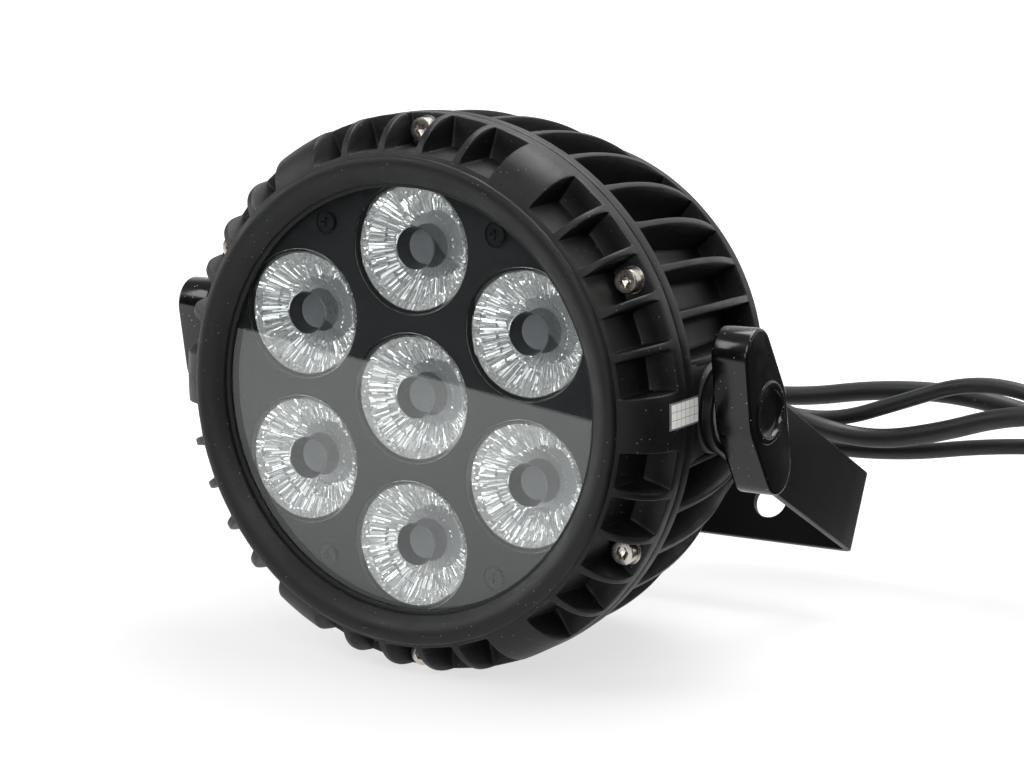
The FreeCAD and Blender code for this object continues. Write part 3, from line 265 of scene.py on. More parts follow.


# %% [markdown]
# ## The finishes of this lamp
# Each one is named for what it is and how its surface was made. The powder coat has a grain of about
# half a millimetre, and small pale specks that are partly chips where it was knocked and partly
# painted glints of its texture. The knobs are gloss plastic that shows every speck of dust. The
# screws are bright turned stainless steel.

# %% Coated and moulded black parts
# Its pale specks: partly small chips, partly painted glints of the coat's texture.
powder_coat_texture = solid("powder_coat_textured_on_die_casting", "#0c0d0f", (0.42, 0.56),
                            drift_mm=14.0, grain_mm=0.5, bump_mm=0.07, speck_mm=1.0,
                            speck_share=0.05, speck="#6a6b6c", specular=0.34)
powder_coat_satin = solid("powder_coat_satin_on_bent_steel", "#0b0c0e", (0.4, 0.48), drift_mm=18.0,
                          grain_mm=0.35, bump_mm=0.012, speck_mm=3.0, speck_share=0.01,
                          specular=0.3)
knob_gloss = solid("abs_gloss_moulded", "#08080a", (0.12, 0.24), drift_mm=6.0, grain_mm=3.0,
                   bump_mm=0.02, speck_mm=0.9, speck_share=0.06, speck="#a5a4a1")
panel_matte = solid("steel_sheet_matte_black_sprayed", "#17181b", (0.55, 0.7), drift_mm=22.0,
                    drift=0.04, grain_mm=0.3, bump_mm=0.002, specular=0.2)
nylon_black = solid("nylon_moulded", "#17181a", (0.36, 0.5), drift_mm=7.0, grain_mm=0.8, bump_mm=0.02)
abs_matte = solid("abs_fine_spark_texture", "#141516", (0.45, 0.6), drift_mm=8.0, grain_mm=0.4,
                  bump_mm=0.02)
rubber_cable = solid("rubber_extruded_cable", "#18191b", (0.42, 0.56), drift_mm=10.0, grain_mm=0.9,
                     bump_mm=0.02, speck_mm=2.2, speck_share=0.02, speck="#5b5c5e")
rubber_seal = solid("epdm_rubber_seal", "#101112", (0.6, 0.75), grain_mm=0.6, bump_mm=0.01)

# %% Metals
stainless = solid("stainless_steel_turned", "#c9c4bb", (0.2, 0.32), metallic=1.0, drift_mm=2.4,
                  drift=0.05, grain_mm=0.3, bump_mm=0.0008)
zinc_steel = solid("steel_zinc_plated", "#9fa1a1", (0.28, 0.42), metallic=1.0, grain_mm=0.5,
                   bump_mm=0.001)
blackened_steel = solid("steel_black_oxide_screw", "#1d1d20", (0.26, 0.4), metallic=0.6, drift_mm=1.5,
                        grain_mm=0.3, bump_mm=0.001)
brass_turned = solid("brass_turned", "#b08d4c", (0.25, 0.4), metallic=1.0, grain_mm=0.4, bump_mm=0.001)

# %% Inside parts and small plastics
board_white = solid("solder_mask_white", "#e6e6e0", (0.35, 0.5), grain_mm=0.5, bump_mm=0.004)
board_green = solid("solder_mask_green", "#1d5a36", (0.3, 0.45), grain_mm=0.5, bump_mm=0.004)
led_phosphor = solid("led_package_phosphor", "#d9cc79", (0.4, 0.5), grain_mm=0.4, bump_mm=0.004)
component_epoxy = solid("epoxy_moulded_component", "#1b1b1b", (0.4, 0.6), grain_mm=0.4, bump_mm=0.01)
display_smoke = solid("acrylic_smoked_display", "#08090b", (0.05, 0.08), grain_mm=6.0, bump_mm=0.0)

# %% [markdown]
# ## Clear parts
# The front window is tempered glass, flat and polished on both sides. It reads as glass only through
# what it mirrors: the pale table in its lower half and the dark room above. The lenses are moulded
# acrylic. Seen from inside the plastic, the rear cone and the wall of the well reflect everything,
# so both get a mirror finish. On the cone's facets the reflections are partly painted: each facet has
# a painted brightness of its own, and a few carry painted rainbow colours for the colours that the
# plastic splits out of the light.


# %% Glass and acrylic
def clear(name, tint, ior, roughness):
    """A transparent finish, with its constants on the shader's own sockets."""
    material, tree, shader = new_material(name)
    shader.inputs["Base Color"].default_value = colour(tint)
    shader.inputs["Transmission Weight"].default_value = 1.0
    shader.inputs["IOR"].default_value = ior
    shader.inputs["Roughness"].default_value = roughness
    return material


window_tempered = clear("glass_tempered_float", "#f4f8f6", 1.5, 0.0)
lens_clear = clear("acrylic_moulded_clear", "#fbfcff", 1.49, 0.0)

# The facets' base colours are painted reflections: a painted brightness for each, and painted rainbow
# tints on some.
lens_mirror, mirror_tree, mirror_shader = new_material("acrylic_cone_total_reflection")
facet_painted_sparkle = add_node(mirror_tree, "ShaderNodeAttribute", {"attribute_name": "facet_painted_sparkle"})
mirror_tree.links.new(facet_painted_sparkle.outputs["Color"], mirror_shader.inputs["Base Color"])
mirror_shader.inputs["Metallic"].default_value = 0.86
mirror_shader.inputs["Roughness"].default_value = 0.04

lens_frosted = solid("acrylic_frosted_well", "#5e6064", (0.5, 0.6), drift_mm=4.0, drift=0.05,
                     grain_mm=0.3, bump_mm=0.004)
# Painted dark: stands in for the dark look of the well's wall from the air, and of the lens's rear face.
lens_painted_dark = solid("acrylic_well_wall_painted_dark", "#2a2c30", (0.3, 0.4), drift_mm=4.0, grain_mm=0.6)

# %% [markdown]
# ## The paper label
# A small inspection label is stuck on the block at three o'clock: white film, with a ruled box for
# ticking off dates. Only blank ruled boxes are drawn. The lines follow the label's own depth and
# height, so they are worked out from where the label lies.

# %% The label's ruled boxes
label_low, label_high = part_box("check_sticker")
LABEL_COLUMNS = 6
LABEL_ROWS = 3
LABEL_LINE = 0.035         # width of a ruled line as a share of a row
LABEL_LEAD = 0.9           # mm of blank film in front of the first box
LABEL_OVERRUN = 0.3        # mm that the last box runs past the label's end
LABEL_MARGIN = 0.5         # mm of blank film above and below the boxes
label_film, label_tree, label_shader = new_material("paper_film_printed_label")
label_place = add_node(label_tree, "ShaderNodeTexCoord").outputs["Object"]
label_parts = add_node(label_tree, "ShaderNodeSeparateXYZ", Vector=label_place)
label_along = ramp(label_tree, label_parts.outputs["Y"], 0.0, LABEL_COLUMNS,
                   at=(label_low.y + LABEL_LEAD * MM, label_high.y + LABEL_OVERRUN * MM))
label_up = ramp(label_tree, label_parts.outputs["Z"], 0.0, LABEL_ROWS,
                at=(label_low.z + LABEL_MARGIN * MM, label_high.z - LABEL_MARGIN * MM))
label_uv = add_node(label_tree, "ShaderNodeCombineXYZ", X=label_along, Y=label_up).outputs[0]
label_grid = add_node(label_tree, "ShaderNodeTexBrick", {"offset": 0.0, "squash": 1.0},
                      Vector=label_uv, Scale=1.0, Color1=colour("#dcdcd8"),
                      Color2=colour("#d6d6d2"), Mortar=colour("#6a6b6d"), Mortar_Size=LABEL_LINE)
label_grid.inputs["Mortar Smooth"].default_value = 0.2
label_grid.inputs["Brick Width"].default_value = 1.0
label_grid.inputs["Row Height"].default_value = 1.0
label_tree.links.new(label_grid.outputs["Color"], label_shader.inputs["Base Color"])
label_shader.inputs["Roughness"].default_value = 0.45

# %% [markdown]
# ## Dressing the frame's own parts
# Most of the frame's parts already have the right shape. The record says which finish each one
# takes, so a table from that name to a material dresses them all.

# %% Finishes by the record's slots
FINISHES = {
    "housing_casting": powder_coat_texture,
    "yoke_coat": powder_coat_satin,
    "knob_plastic": knob_gloss,
    "knob_stud_steel": zinc_steel,
    "window_glass": window_tempered,
    "lens_acrylic": lens_clear,
    "panel_black": panel_matte,
    "seal_rubber": rubber_seal,
    "holder_plastic": abs_matte,
    "stainless": stainless,
    "black_screw": blackened_steel,
    "plain_steel": zinc_steel,
    "insert_brass": brass_turned,
    "led_board_white": board_white,
    "led_package": led_phosphor,
    "circuit_board": board_green,
    "component": component_epoxy,
    "display": display_smoke,
    "button_plastic": abs_matte,
    "gland_nylon": nylon_black,
    "cable_rubber": rubber_cable,
    "connector_body": abs_matte,
    "label_film": label_film,
}
slot_of = {part["node"]: part["material_slot"] for part in frame["record"]["subparts"]}
for node_name, node in frame["nodes"].items():
    node.data.materials.clear()
    node.data.materials.append(FINISHES[slot_of[node_name]])
for cable in cables.values():
    cable.data.materials.append(rubber_cable)
frame["nodes"]["window_glass"].visible_shadow = False      # light passes through clear glass
print(f"dressed {len(slot_of)} parts in {len(FINISHES)} finishes")

# %% [markdown]
# ## Turning a strip of profile into a surface
# A casting like this one repeats a short sector round its axis. A sector is a grid: every column is
# the same profile at another angle, and moves from the pocket's profile to the rib's as it climbs
# the rib's wall. That gives the wall its draft, the rib its rounded edge and the foot its fillet,
# without any bevel tool.


# %% Meshes from rows and columns
SMOOTH_ANGLE = 35.0        # degrees between two faces, past which their edge is drawn sharp


def inside_out(mesh):
    """True when a shell's normals point inwards: its signed volume is negative."""
    mesh.calc_loop_triangles()
    volume = 0.0
    for triangle in mesh.loop_triangles:
        a, b, c = (mesh.vertices[index].co for index in triangle.vertices)
        volume += a.dot(b.cross(c))
    return volume < 0


def mesh_piece(name, points, faces, smooth_angle=SMOOTH_ANGLE):
    """A mesh object from points in metres and faces, shaded smooth below an angle."""
    mesh = bpy.data.meshes.new(name)
    mesh.from_pydata([tuple(point) for point in points], [], faces)
    if inside_out(mesh):
        mesh.flip_normals()
    mesh.shade_smooth()
    mesh.set_sharp_from_angle(angle=math.radians(smooth_angle))
    piece = bpy.data.objects.new(name, mesh)
    bpy.context.scene.collection.objects.link(piece)
    return piece


def grid_faces(columns, rows, close_rows=False, close_columns=False):
    """Quads of a grid that is stored column after column."""
    faces = []
    for column in range(columns if close_columns else columns - 1):
        following = (column + 1) % columns
        for row in range(rows if close_rows else rows - 1):
            above = (row + 1) % rows
            faces.append((column * rows + row, column * rows + above,
                          following * rows + above, following * rows + row))
    return faces


def arc(centre, radius, first, last, steps):
    """Points (radius, depth) along an arc in the profile's plane, angles from the radius axis."""
    made = []
    for step in range(steps + 1):
        angle = math.radians(first + (last - first) * step / steps)
        made.append((centre[0] + radius * math.cos(angle), centre[1] + radius * math.sin(angle)))
    return made


def straight(start, end, steps):
    """Points along a straight stretch, both ends included."""
    return [(start[0] + (end[0] - start[0]) * step / steps, start[1] + (end[1] - start[1]) * step / steps)
            for step in range(steps + 1)]


# %% [markdown]
# ## Repeating a piece round the axis
# Geometry Nodes do the repeating. The tree takes the piece, the number of copies, the radius that a
# copy stands at and the angle of the first one. It stands the copies on points, turns each by its
# share of the circle, makes them real, welds the seams between sectors and gives them their
# material. The result is then stored as a plain mesh.


# %% The round pattern tree
def round_pattern_tree(material):
    """The tree that repeats a piece round the axis, and its inputs' identifiers by name."""
    tree = bpy.data.node_groups.new(f"round_pattern_{material.name}", "GeometryNodeTree")
    sockets = {}
    for name, kind in (("Piece", "NodeSocketObject"), ("Count", "NodeSocketInt"),
                       ("Radius", "NodeSocketFloat"), ("Start", "NodeSocketFloat"),
                       ("Weld", "NodeSocketFloat")):
        sockets[name] = tree.interface.new_socket(name, in_out="INPUT", socket_type=kind).identifier
    tree.interface.new_socket("Geometry", in_out="OUTPUT", socket_type="NodeSocketGeometry")
    given = add_node(tree, "NodeGroupInput").outputs
    source = add_node(tree, "GeometryNodeObjectInfo", Object=given["Piece"]).outputs["Geometry"]
    offset = add_node(tree, "ShaderNodeCombineXYZ", X=given["Radius"]).outputs[0]
    moved = add_node(tree, "GeometryNodeTransform", Geometry=source, Translation=offset)
    points = add_node(tree, "GeometryNodePoints", Count=given["Count"])
    share = add_node(tree, "ShaderNodeMath", {"operation": "DIVIDE"}, input0=-math.tau,
                     input1=given["Count"]).outputs[0]
    index = add_node(tree, "GeometryNodeInputIndex").outputs[0]
    turned = add_node(tree, "ShaderNodeMath", {"operation": "MULTIPLY"}, input0=index,
                      input1=share).outputs[0]
    angle = add_node(tree, "ShaderNodeMath", {"operation": "SUBTRACT"}, input0=turned,
                     input1=given["Start"]).outputs[0]
    turn = add_node(tree, "ShaderNodeCombineXYZ", Y=angle).outputs[0]
    copies = add_node(tree, "GeometryNodeInstanceOnPoints", Points=points.outputs[0],
                      Instance=moved.outputs[0], Rotation=turn)
    real = add_node(tree, "GeometryNodeRealizeInstances", Geometry=copies.outputs[0])
    welded = add_node(tree, "GeometryNodeMergeByDistance", Geometry=real.outputs[0],
                      Distance=given["Weld"])
    dressed = add_node(tree, "GeometryNodeSetMaterial", Geometry=welded.outputs[0],
                       Material=material)
    add_node(tree, "NodeGroupOutput", Geometry=dressed.outputs[0])
    return tree, sockets


def repeat_round(name, piece, material, count, radius=0.0, start=0.0, weld_mm=0.004,
                 smooth_angle=SMOOTH_ANGLE):
    """A plain mesh of a piece repeated round the lamp's axis. The piece itself is used up."""
    tree, sockets = round_pattern_tree(material)
    host = bpy.data.objects.new(name, bpy.data.meshes.new(name))
    bpy.context.scene.collection.objects.link(host)
    pattern = host.modifiers.new("pattern", "NODES")
    pattern.node_group = tree
    values = {"Piece": piece, "Count": count, "Radius": radius * MM, "Start": math.radians(start),
              "Weld": weld_mm * MM}
    for key, value in values.items():
        pattern[sockets[key]] = value
    bpy.context.view_layer.update()
    evaluated = host.evaluated_get(bpy.context.evaluated_depsgraph_get())
    mesh = bpy.data.meshes.new_from_object(evaluated)
    host.modifiers.clear()
    mesh.transform(Matrix.Translation(LAMP_ORIGIN))
    mesh.shade_smooth()
    mesh.set_sharp_from_angle(angle=math.radians(smooth_angle))
    host.data = mesh
    bpy.data.objects.remove(piece)
    print(f"{name}: {count} copies, {len(mesh.polygons)} faces")
    return host


def belongs(piece, body, slot, *nodes):
    """A finished piece rides on a body and stands for its nodes, which are hidden. Its slot is not used.
    """
    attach(piece, body)
    if nodes:
        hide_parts(*nodes)


# %% [markdown]
# ## The front ring
# The ring is a die casting: a rounded lip round the window, then ribs with deep pockets between
# them, and a flange behind. Six plain blocks break the ribs up. Sixty degrees of it repeat six
# times, with a block in the middle of each sector and half a pocket at both of its ends.

# %% The ring's sizes
WINDOW_RADIUS = 73.5
LIP_FRONT = -11.0
LIP_RADIUS = 83.2
RIB_CENTRE = (77.25, 9.0)          # centre of the ribs' round outer edge: radius, depth
RIB_SWEEP = 18.75
FLANGE_RADIUS = 96.0
FLANGE_FRONT = 10.5
RING_REAR = 16.3
RING_BORE = 79.9
WINDOW_WALL_REAR = -5.4
POCKET_FLOOR = (84.5, 85.2)        # radius of the pockets' floor at its front and rear
RIB_HALF_ANGLE = 0.95
RIB_ANGLES = (15, 25)
BLOCK_HALF_ANGLE = 5.95
FOOT_STEP = 1.6                    # degrees from the foot of a wall to the next plain column
SECTOR_HALF_ANGLE = 30.0
SECTORS = 6
WALL_STEPS = (                     # degrees from a wall into the rib, and how far the profile has risen
    (-0.85, 0.0), (-0.45, 0.012), (-0.18, 0.05), (-0.03, 0.16), (0.05, 0.5), (0.1, 0.86),
    (0.18, 0.96), (0.34, 0.99), (0.55, 1.0))

# %% One sector of the ring
rib_start = -math.degrees(math.acos((LIP_RADIUS - RIB_CENTRE[0]) / RIB_SWEEP))
rib_curve = arc(RIB_CENTRE, RIB_SWEEP, rib_start, 0.0, 13) + [(FLANGE_RADIUS, 9.7), (FLANGE_RADIUS, 10.6)]
floor_front = (POCKET_FLOOR[0], -8.1)
pocket_curve = ([(LIP_RADIUS, rib_curve[0][1]), (LIP_RADIUS + 0.7, -8.5), floor_front]
                + straight((POCKET_FLOOR[0] + 0.05, -6.0), (POCKET_FLOOR[1], FLANGE_FRONT - 1.0), 6)
                + [(POCKET_FLOOR[1] + 0.3, FLANGE_FRONT - 0.3), (POCKET_FLOOR[1] + 1.0, FLANGE_FRONT)]
                + [(90.5, FLANGE_FRONT), (95.3, FLANGE_FRONT), (95.8, FLANGE_FRONT + 0.15),
                   (FLANGE_RADIUS, FLANGE_FRONT + 0.5)])
lip_curve = ([(WINDOW_RADIUS, WINDOW_WALL_REAR), (WINDOW_RADIUS, -6.5), (WINDOW_RADIUS + 0.15, -6.8),
              (WINDOW_RADIUS + 0.5, -7.15)]
             + [(75.4, -8.6), (76.8, -9.75), (78.2, -10.5), (79.4, -10.9), (80.4, LIP_FRONT),
                (81.4, -10.92), (82.3, -10.6), (82.85, -10.25), (83.1, -9.9), (LIP_RADIUS, -9.5)])
back_curve = [(FLANGE_RADIUS, 13.0), (FLANGE_RADIUS, RING_REAR - 0.45), (95.87, RING_REAR - 0.13),
              (95.55, RING_REAR), (88.0, RING_REAR), (RING_BORE, RING_REAR), (RING_BORE, 5.0),
              (RING_BORE, WINDOW_WALL_REAR)]


def between(low, high, share):
    """A profile that lies a share of the way from a low one to a high one."""
    return [(a[0] + (b[0] - a[0]) * share, a[1] + (b[1] - a[1]) * share) for a, b in zip(low, high)]


assert len(rib_curve) == len(pocket_curve), (len(rib_curve), len(pocket_curve))
columns = [(0.0, 1.0), (2.0, 1.0), (4.0, 1.0)]      # angle, and 1 on a rib or block, 0 in a pocket
walls = [(BLOCK_HALF_ANGLE, -1)]
for rib in RIB_ANGLES:
    walls += [(rib - RIB_HALF_ANGLE, 1), (rib + RIB_HALF_ANGLE, -1)]
for edge, side in walls:
    steps = [(edge + side * step, risen) for step, risen in WALL_STEPS]
    columns += steps if side > 0 else steps[::-1]
    if side > 0:
        columns.append((edge + RIB_HALF_ANGLE, 1.0))
    else:
        columns.append((columns[-1][0] + FOOT_STEP, columns[-1][1]))
columns = sorted(set(columns)) + [(SECTOR_HALF_ANGLE, 0.0)]
columns = [(-angle, risen) for angle, risen in columns[:0:-1]] + columns
ring_points = []
for angle, risen in columns:
    profile = lip_curve + between(pocket_curve, rib_curve, risen) + back_curve
    ring_points += [polar(radius, angle, depth) * MM for radius, depth in profile]
ring_rows = len(lip_curve) + len(rib_curve) + len(back_curve)
ring_sector = mesh_piece("ring_sector", ring_points,
                         grid_faces(len(columns), ring_rows, close_rows=True))
front_casting = repeat_round("front_casting", ring_sector, powder_coat_texture, SECTORS)
belongs(front_casting, "head", "housing_casting", "front_ring")

# %% [markdown]
# ## The rear housing
# Behind the ring, thirty-six tall fins run back along the housing and follow a long curve down to
# the rear rim. A fin is thicker at its root than at its edge, as anything that must leave a mould.
# One fin with half a valley on both sides repeats round the axis, and the smooth side bosses that
# carry the yoke are added over it.

# %% The housing's sizes
HOUSING_FRONT = 16.8
HOUSING_FLANGE_REAR = 22.0
FIN_EDGE_FRONT = (95.4, HOUSING_FLANGE_REAR)
RIM = (80.2, 102.3)
HOUSING_REAR = 106.3
FIN_SWEEP = 205.0
FIN_COUNT = 36
FIN_WALL = (                       # mm from the fin's middle, and how far the profile has risen
    (0.0, 1.0), (0.75, 1.0), (1.05, 0.99), (1.25, 0.955), (1.38, 0.86), (1.46, 0.5), (1.62, 0.14),
    (1.85, 0.05), (2.5, 0.012), (3.4, 0.0))


def curve_between(start, end, radius, steps):
    """An outward-bulging arc from start to end in the profile's plane."""
    middle = ((start[0] + end[0]) / 2, (start[1] + end[1]) / 2)
    along = (end[0] - start[0], end[1] - start[1])
    chord = math.hypot(*along)
    reach = math.sqrt(radius * radius - chord * chord / 4)
    centre = (middle[0] - along[1] / chord * reach, middle[1] + along[0] / chord * reach)
    first = math.degrees(math.atan2(start[1] - centre[1], start[0] - centre[0]))
    last = math.degrees(math.atan2(end[1] - centre[1], end[0] - centre[0]))
    return arc(centre, radius, first, last, steps)


# %% One fin and its valleys
FIN_STEPS = 16
VALLEY_STEPS = FIN_STEPS - 9       # the valley's rounded ends take the other nine points
fin_curve = curve_between(FIN_EDGE_FRONT, RIM, FIN_SWEEP, FIN_STEPS)
valley_curve = ([(95.4, HOUSING_FLANGE_REAR), (90.0, HOUSING_FLANGE_REAR), (84.4, HOUSING_FLANGE_REAR),
                 (83.0, HOUSING_FLANGE_REAR + 0.5), (82.4, HOUSING_FLANGE_REAR + 1.8)]
                + straight((81.6, 27.0), (70.2, 95.0), VALLEY_STEPS)
                + [(69.9, 99.9), (70.4, 101.6), (72.0, 102.2), (79.3, 102.3)])
flange_curve = [(82.0, HOUSING_FRONT), (95.5, HOUSING_FRONT), (95.85, HOUSING_FRONT + 0.12),
                (96.0, HOUSING_FRONT + 0.45), (96.0, 19.4), (96.0, HOUSING_FLANGE_REAR - 0.5),
                (95.85, HOUSING_FLANGE_REAR - 0.12)]
rear_curve = [(80.15, 102.7), (80.2, 105.7), (80.0, 106.15), (79.5, HOUSING_REAR), (62.5, HOUSING_REAR),
              (68.0, 68.0), (74.0, 31.4), (20.0, 31.4), (20.0, 26.4), (77.5, 26.4),
              (77.5, HOUSING_FRONT)]
fin_columns = [(-across, risen) for across, risen in FIN_WALL[:0:-1]] + list(FIN_WALL)


def fin_point(radius, depth, across):
    """A point at a distance across from the fin's middle, the same at every height."""
    return Vector((math.sqrt(radius * radius - across * across), depth, across)) * MM


def valley_middle(side):
    """The column in the middle of a valley, where one fin's sector meets the next."""
    return [polar(radius, side * 180 / FIN_COUNT, depth) * MM
            for radius, depth in flange_curve + valley_curve + rear_curve]


assert len(fin_curve) == len(valley_curve), (len(fin_curve), len(valley_curve))
housing_points = valley_middle(-1)
for across, risen in fin_columns:
    profile = flange_curve + between(valley_curve, fin_curve, risen) + rear_curve
    housing_points += [fin_point(radius, depth, across) for radius, depth in profile]
housing_points += valley_middle(1)
housing_rows = len(flange_curve) + len(fin_curve) + len(rear_curve)
fin_sector = mesh_piece("fin_sector", housing_points,
                        grid_faces(len(fin_columns) + 2, housing_rows, close_rows=True))
rear_casting = repeat_round("rear_casting", fin_sector, powder_coat_texture, FIN_COUNT)
belongs(rear_casting, "head", "housing_casting", "rear_housing")

# %% [markdown]
# ## The side bosses
# At three and nine o'clock the housing is plain, with a round pad that the yoke's washer lies on.
# The boss is a short sector of its own with rounded edges, and the pad is turned like a button.

# %% Bosses and pads
BOSS_HALF_ANGLE = 10.2
BOSS_FRONT_RADIUS = 95.8
BOSS_REAR = 60.0
boss_outer = [(80.0, 22.2), (BOSS_FRONT_RADIUS - 0.1, 21.9), (BOSS_FRONT_RADIUS - 1.1, 36.0),
              (BOSS_FRONT_RADIUS - 2.4, 50.0), (BOSS_FRONT_RADIUS - 3.3, 58.4),
              (BOSS_FRONT_RADIUS - 3.9, 59.6), (BOSS_FRONT_RADIUS - 5.4, BOSS_REAR), (76.0, BOSS_REAR)]
boss_inner = [(80.0, 22.2), (81.5, 21.9), (80.5, 30.0), (79.5, 38.0), (78.8, 46.0), (78.3, 52.0),
              (77.6, 57.0), (76.0, BOSS_REAR)]
boss_columns = [(BOSS_HALF_ANGLE + 0.3, 0.0), (BOSS_HALF_ANGLE + 0.22, 0.5),
                (BOSS_HALF_ANGLE + 0.1, 0.93), (BOSS_HALF_ANGLE - 0.15, 0.985),
                (BOSS_HALF_ANGLE - 0.5, 1.0), (6.0, 1.0), (2.0, 1.0)]
boss_columns = [(-a, r) for a, r in boss_columns] + boss_columns[::-1]
boss_points = [polar(radius, angle, depth) * MM for angle, risen in boss_columns
               for radius, depth in between(boss_inner, boss_outer, risen)]
boss_faces = grid_faces(len(boss_columns), len(boss_outer), close_rows=True)
last_column = (len(boss_columns) - 1) * len(boss_outer)
boss_faces += [tuple(range(len(boss_outer)))[::-1],
               tuple(range(last_column, last_column + len(boss_outer)))]
boss = mesh_piece("boss", boss_points, boss_faces)
side_bosses = repeat_round("side_bosses", boss, powder_coat_texture, 2)
belongs(side_bosses, "head", "housing_casting")

PIVOT_DEPTH = 39.5
PAD_RADIUS = 15.4
PAD_FACE = 96.2
PAD_BORE = 8.02
PAD_STEPS = 64
pad_profile = [(82.0, PAD_BORE), (82.0, PAD_RADIUS + 0.6), (94.0, PAD_RADIUS + 0.3), (95.7, PAD_RADIUS),
               (96.05, PAD_RADIUS - 0.15), (PAD_FACE, PAD_RADIUS - 0.5), (PAD_FACE, PAD_BORE)]
pad_points = []
for step in range(PAD_STEPS):
    angle = math.tau * step / PAD_STEPS
    pad_points += [Vector((along, radius * math.cos(angle), radius * math.sin(angle))) * MM
                   for along, radius in pad_profile]
pad = mesh_piece("pad", pad_points, grid_faces(PAD_STEPS, len(pad_profile), close_rows=True,
                                               close_columns=True))
pad.data.transform(Matrix.Translation((0, PIVOT_DEPTH * MM, 0)))
pivot_pads = repeat_round("pivot_pads", pad, powder_coat_texture, 2)
belongs(pivot_pads, "head", "housing_casting")

# %% [markdown]
# ## Lenses
# Each lens is one clear moulding. Light meets a shallow dish first, then the rear cone, whose rings
# of long facets throw it back. The cone is drawn facet by facet: every facet is a small pillow with
# a tilt of its own, so its neighbours mirror different parts of the room. Every facet also has a
# painted brightness, from white to nearly black, and a few have a painted rainbow tint. In the middle
# is a blind well with a frosted floor. Its wall is a mirror from inside the acrylic and looks dark
# from the air. That dark look is painted on a thin dark skin just inside the wall, and the lens's
# rear face takes the same painted dark.

# %% The lens's sizes
LENS_COUNT = 7
LENS_RADIUS = 22.5
LENS_FLANGE = 2.2
WELL_RADIUS = 7.3
WELL_FLOOR_RADIUS = 6.1
WELL_DEPTH = 9.0
SLEEVE_GAP = 0.03          # between the well's wall and its dark skin
SLEEVE_THICKNESS = 0.08
LENS_COLUMNS = 144
CONE_ZONES = (             # outer radius and depth, inner radius and depth, columns to a facet, ridge
    (21.2, 2.3, 19.5, 4.6, 2, 0.16),
    (19.3, 4.9, 12.8, 13.8, 3, 0.3),
    (12.5, 14.2, 8.3, 20.3, 4, 0.3),
)
CONE_NORMAL = (0.78, 0.63)  # shares of a ridge's height taken from the radius and from the depth
LENS_BASE = (8.2, 20.5)
FACET_JITTER = 0.13        # mm that a facet's corners stand out of true
# The facets' painted reflections: the brightnesses a facet may take, and the rainbow colours painted on
# some.
FACET_PAINTED_SHADES = (1.0, 1.0, 0.92, 0.7, 0.35, 0.1)
FACET_BLUE = 1.03          # how much more blue than red a plain facet reflects
PAINTED_SPECTRUM = ("#ff9450", "#ffd45c", "#6edb8e", "#56aaff", "#7f6cff", "#d283ff")
RAINBOW_ANGLES = ((108, 150), (238, 280))   # where round the lens the colours gather
RAINBOW_SHARE = 0.65       # of the facets in those two stretches

# %% The lens's profile
# From the middle of the well's floor out to the rim, over the flange and back down the cone.
lens_profile = [(0.02, WELL_DEPTH + 0.1), (3.0, WELL_DEPTH + 0.05), (WELL_FLOOR_RADIUS - 0.3, WELL_DEPTH),
                (WELL_FLOOR_RADIUS, WELL_DEPTH - 0.15), (6.8, 5.0), (WELL_RADIUS, 2.9),
                (WELL_RADIUS + 0.25, 2.62), (9.6, 2.5), (13.0, 1.95), (17.0, 1.1), (20.6, 0.35),
                (LENS_RADIUS - 0.9, 0.0), (LENS_RADIUS - 0.35, 0.0), (LENS_RADIUS - 0.1, 0.1),
                (LENS_RADIUS, 0.35), (LENS_RADIUS, LENS_FLANGE), (21.4, LENS_FLANGE)]
FLOOR_ROWS = 3             # rows of faces up to the end of the well's floor, and of its wall
WALL_ROWS = 6
cone_start = len(lens_profile)
for outer_radius, outer_depth, inner_radius, inner_depth, _, _ in CONE_ZONES:
    lens_profile += [(outer_radius, outer_depth), (inner_radius, inner_depth)]
lens_profile += [LENS_BASE, (0.02, LENS_BASE[1])]
CLEAR, MIRROR, FROSTED, WALL = range(4)


# %% One faceted lens
def lens_point(row, column, draw):
    """A point of the lens, with the facets' ridges and jitter on the cone's rows."""
    radius, depth = lens_profile[row]
    zone = (row - cone_start) // 2
    if row >= cone_start and zone < len(CONE_ZONES):
        per_facet, ridge = CONE_ZONES[zone][4:]
        across = column % per_facet / per_facet
        lift = ridge * (1 - abs(2 * across - 1)) + draw.uniform(-FACET_JITTER, FACET_JITTER)
        radius -= CONE_NORMAL[0] * lift
        depth -= CONE_NORMAL[1] * lift
    return polar(radius, 360 * column / LENS_COLUMNS, depth)


def painted_facet_shade(zone, facet, per_facet, draw):
    """A facet's painted brightness, which stands in for how much light it mirrors. For some of those in
    the two coloured stretches it is a painted rainbow tint.
    """
    middle_angle = 360 * (facet + 0.5) * per_facet / LENS_COLUMNS
    coloured = zone == 1 and any(low < middle_angle < high for low, high in RAINBOW_ANGLES)
    if coloured and draw.random() < RAINBOW_SHARE:
        return colour(draw.choice(PAINTED_SPECTRUM))
    shade = draw.choice(FACET_PAINTED_SHADES)
    return (shade, shade, min(1.0, shade * FACET_BLUE), 1.0)


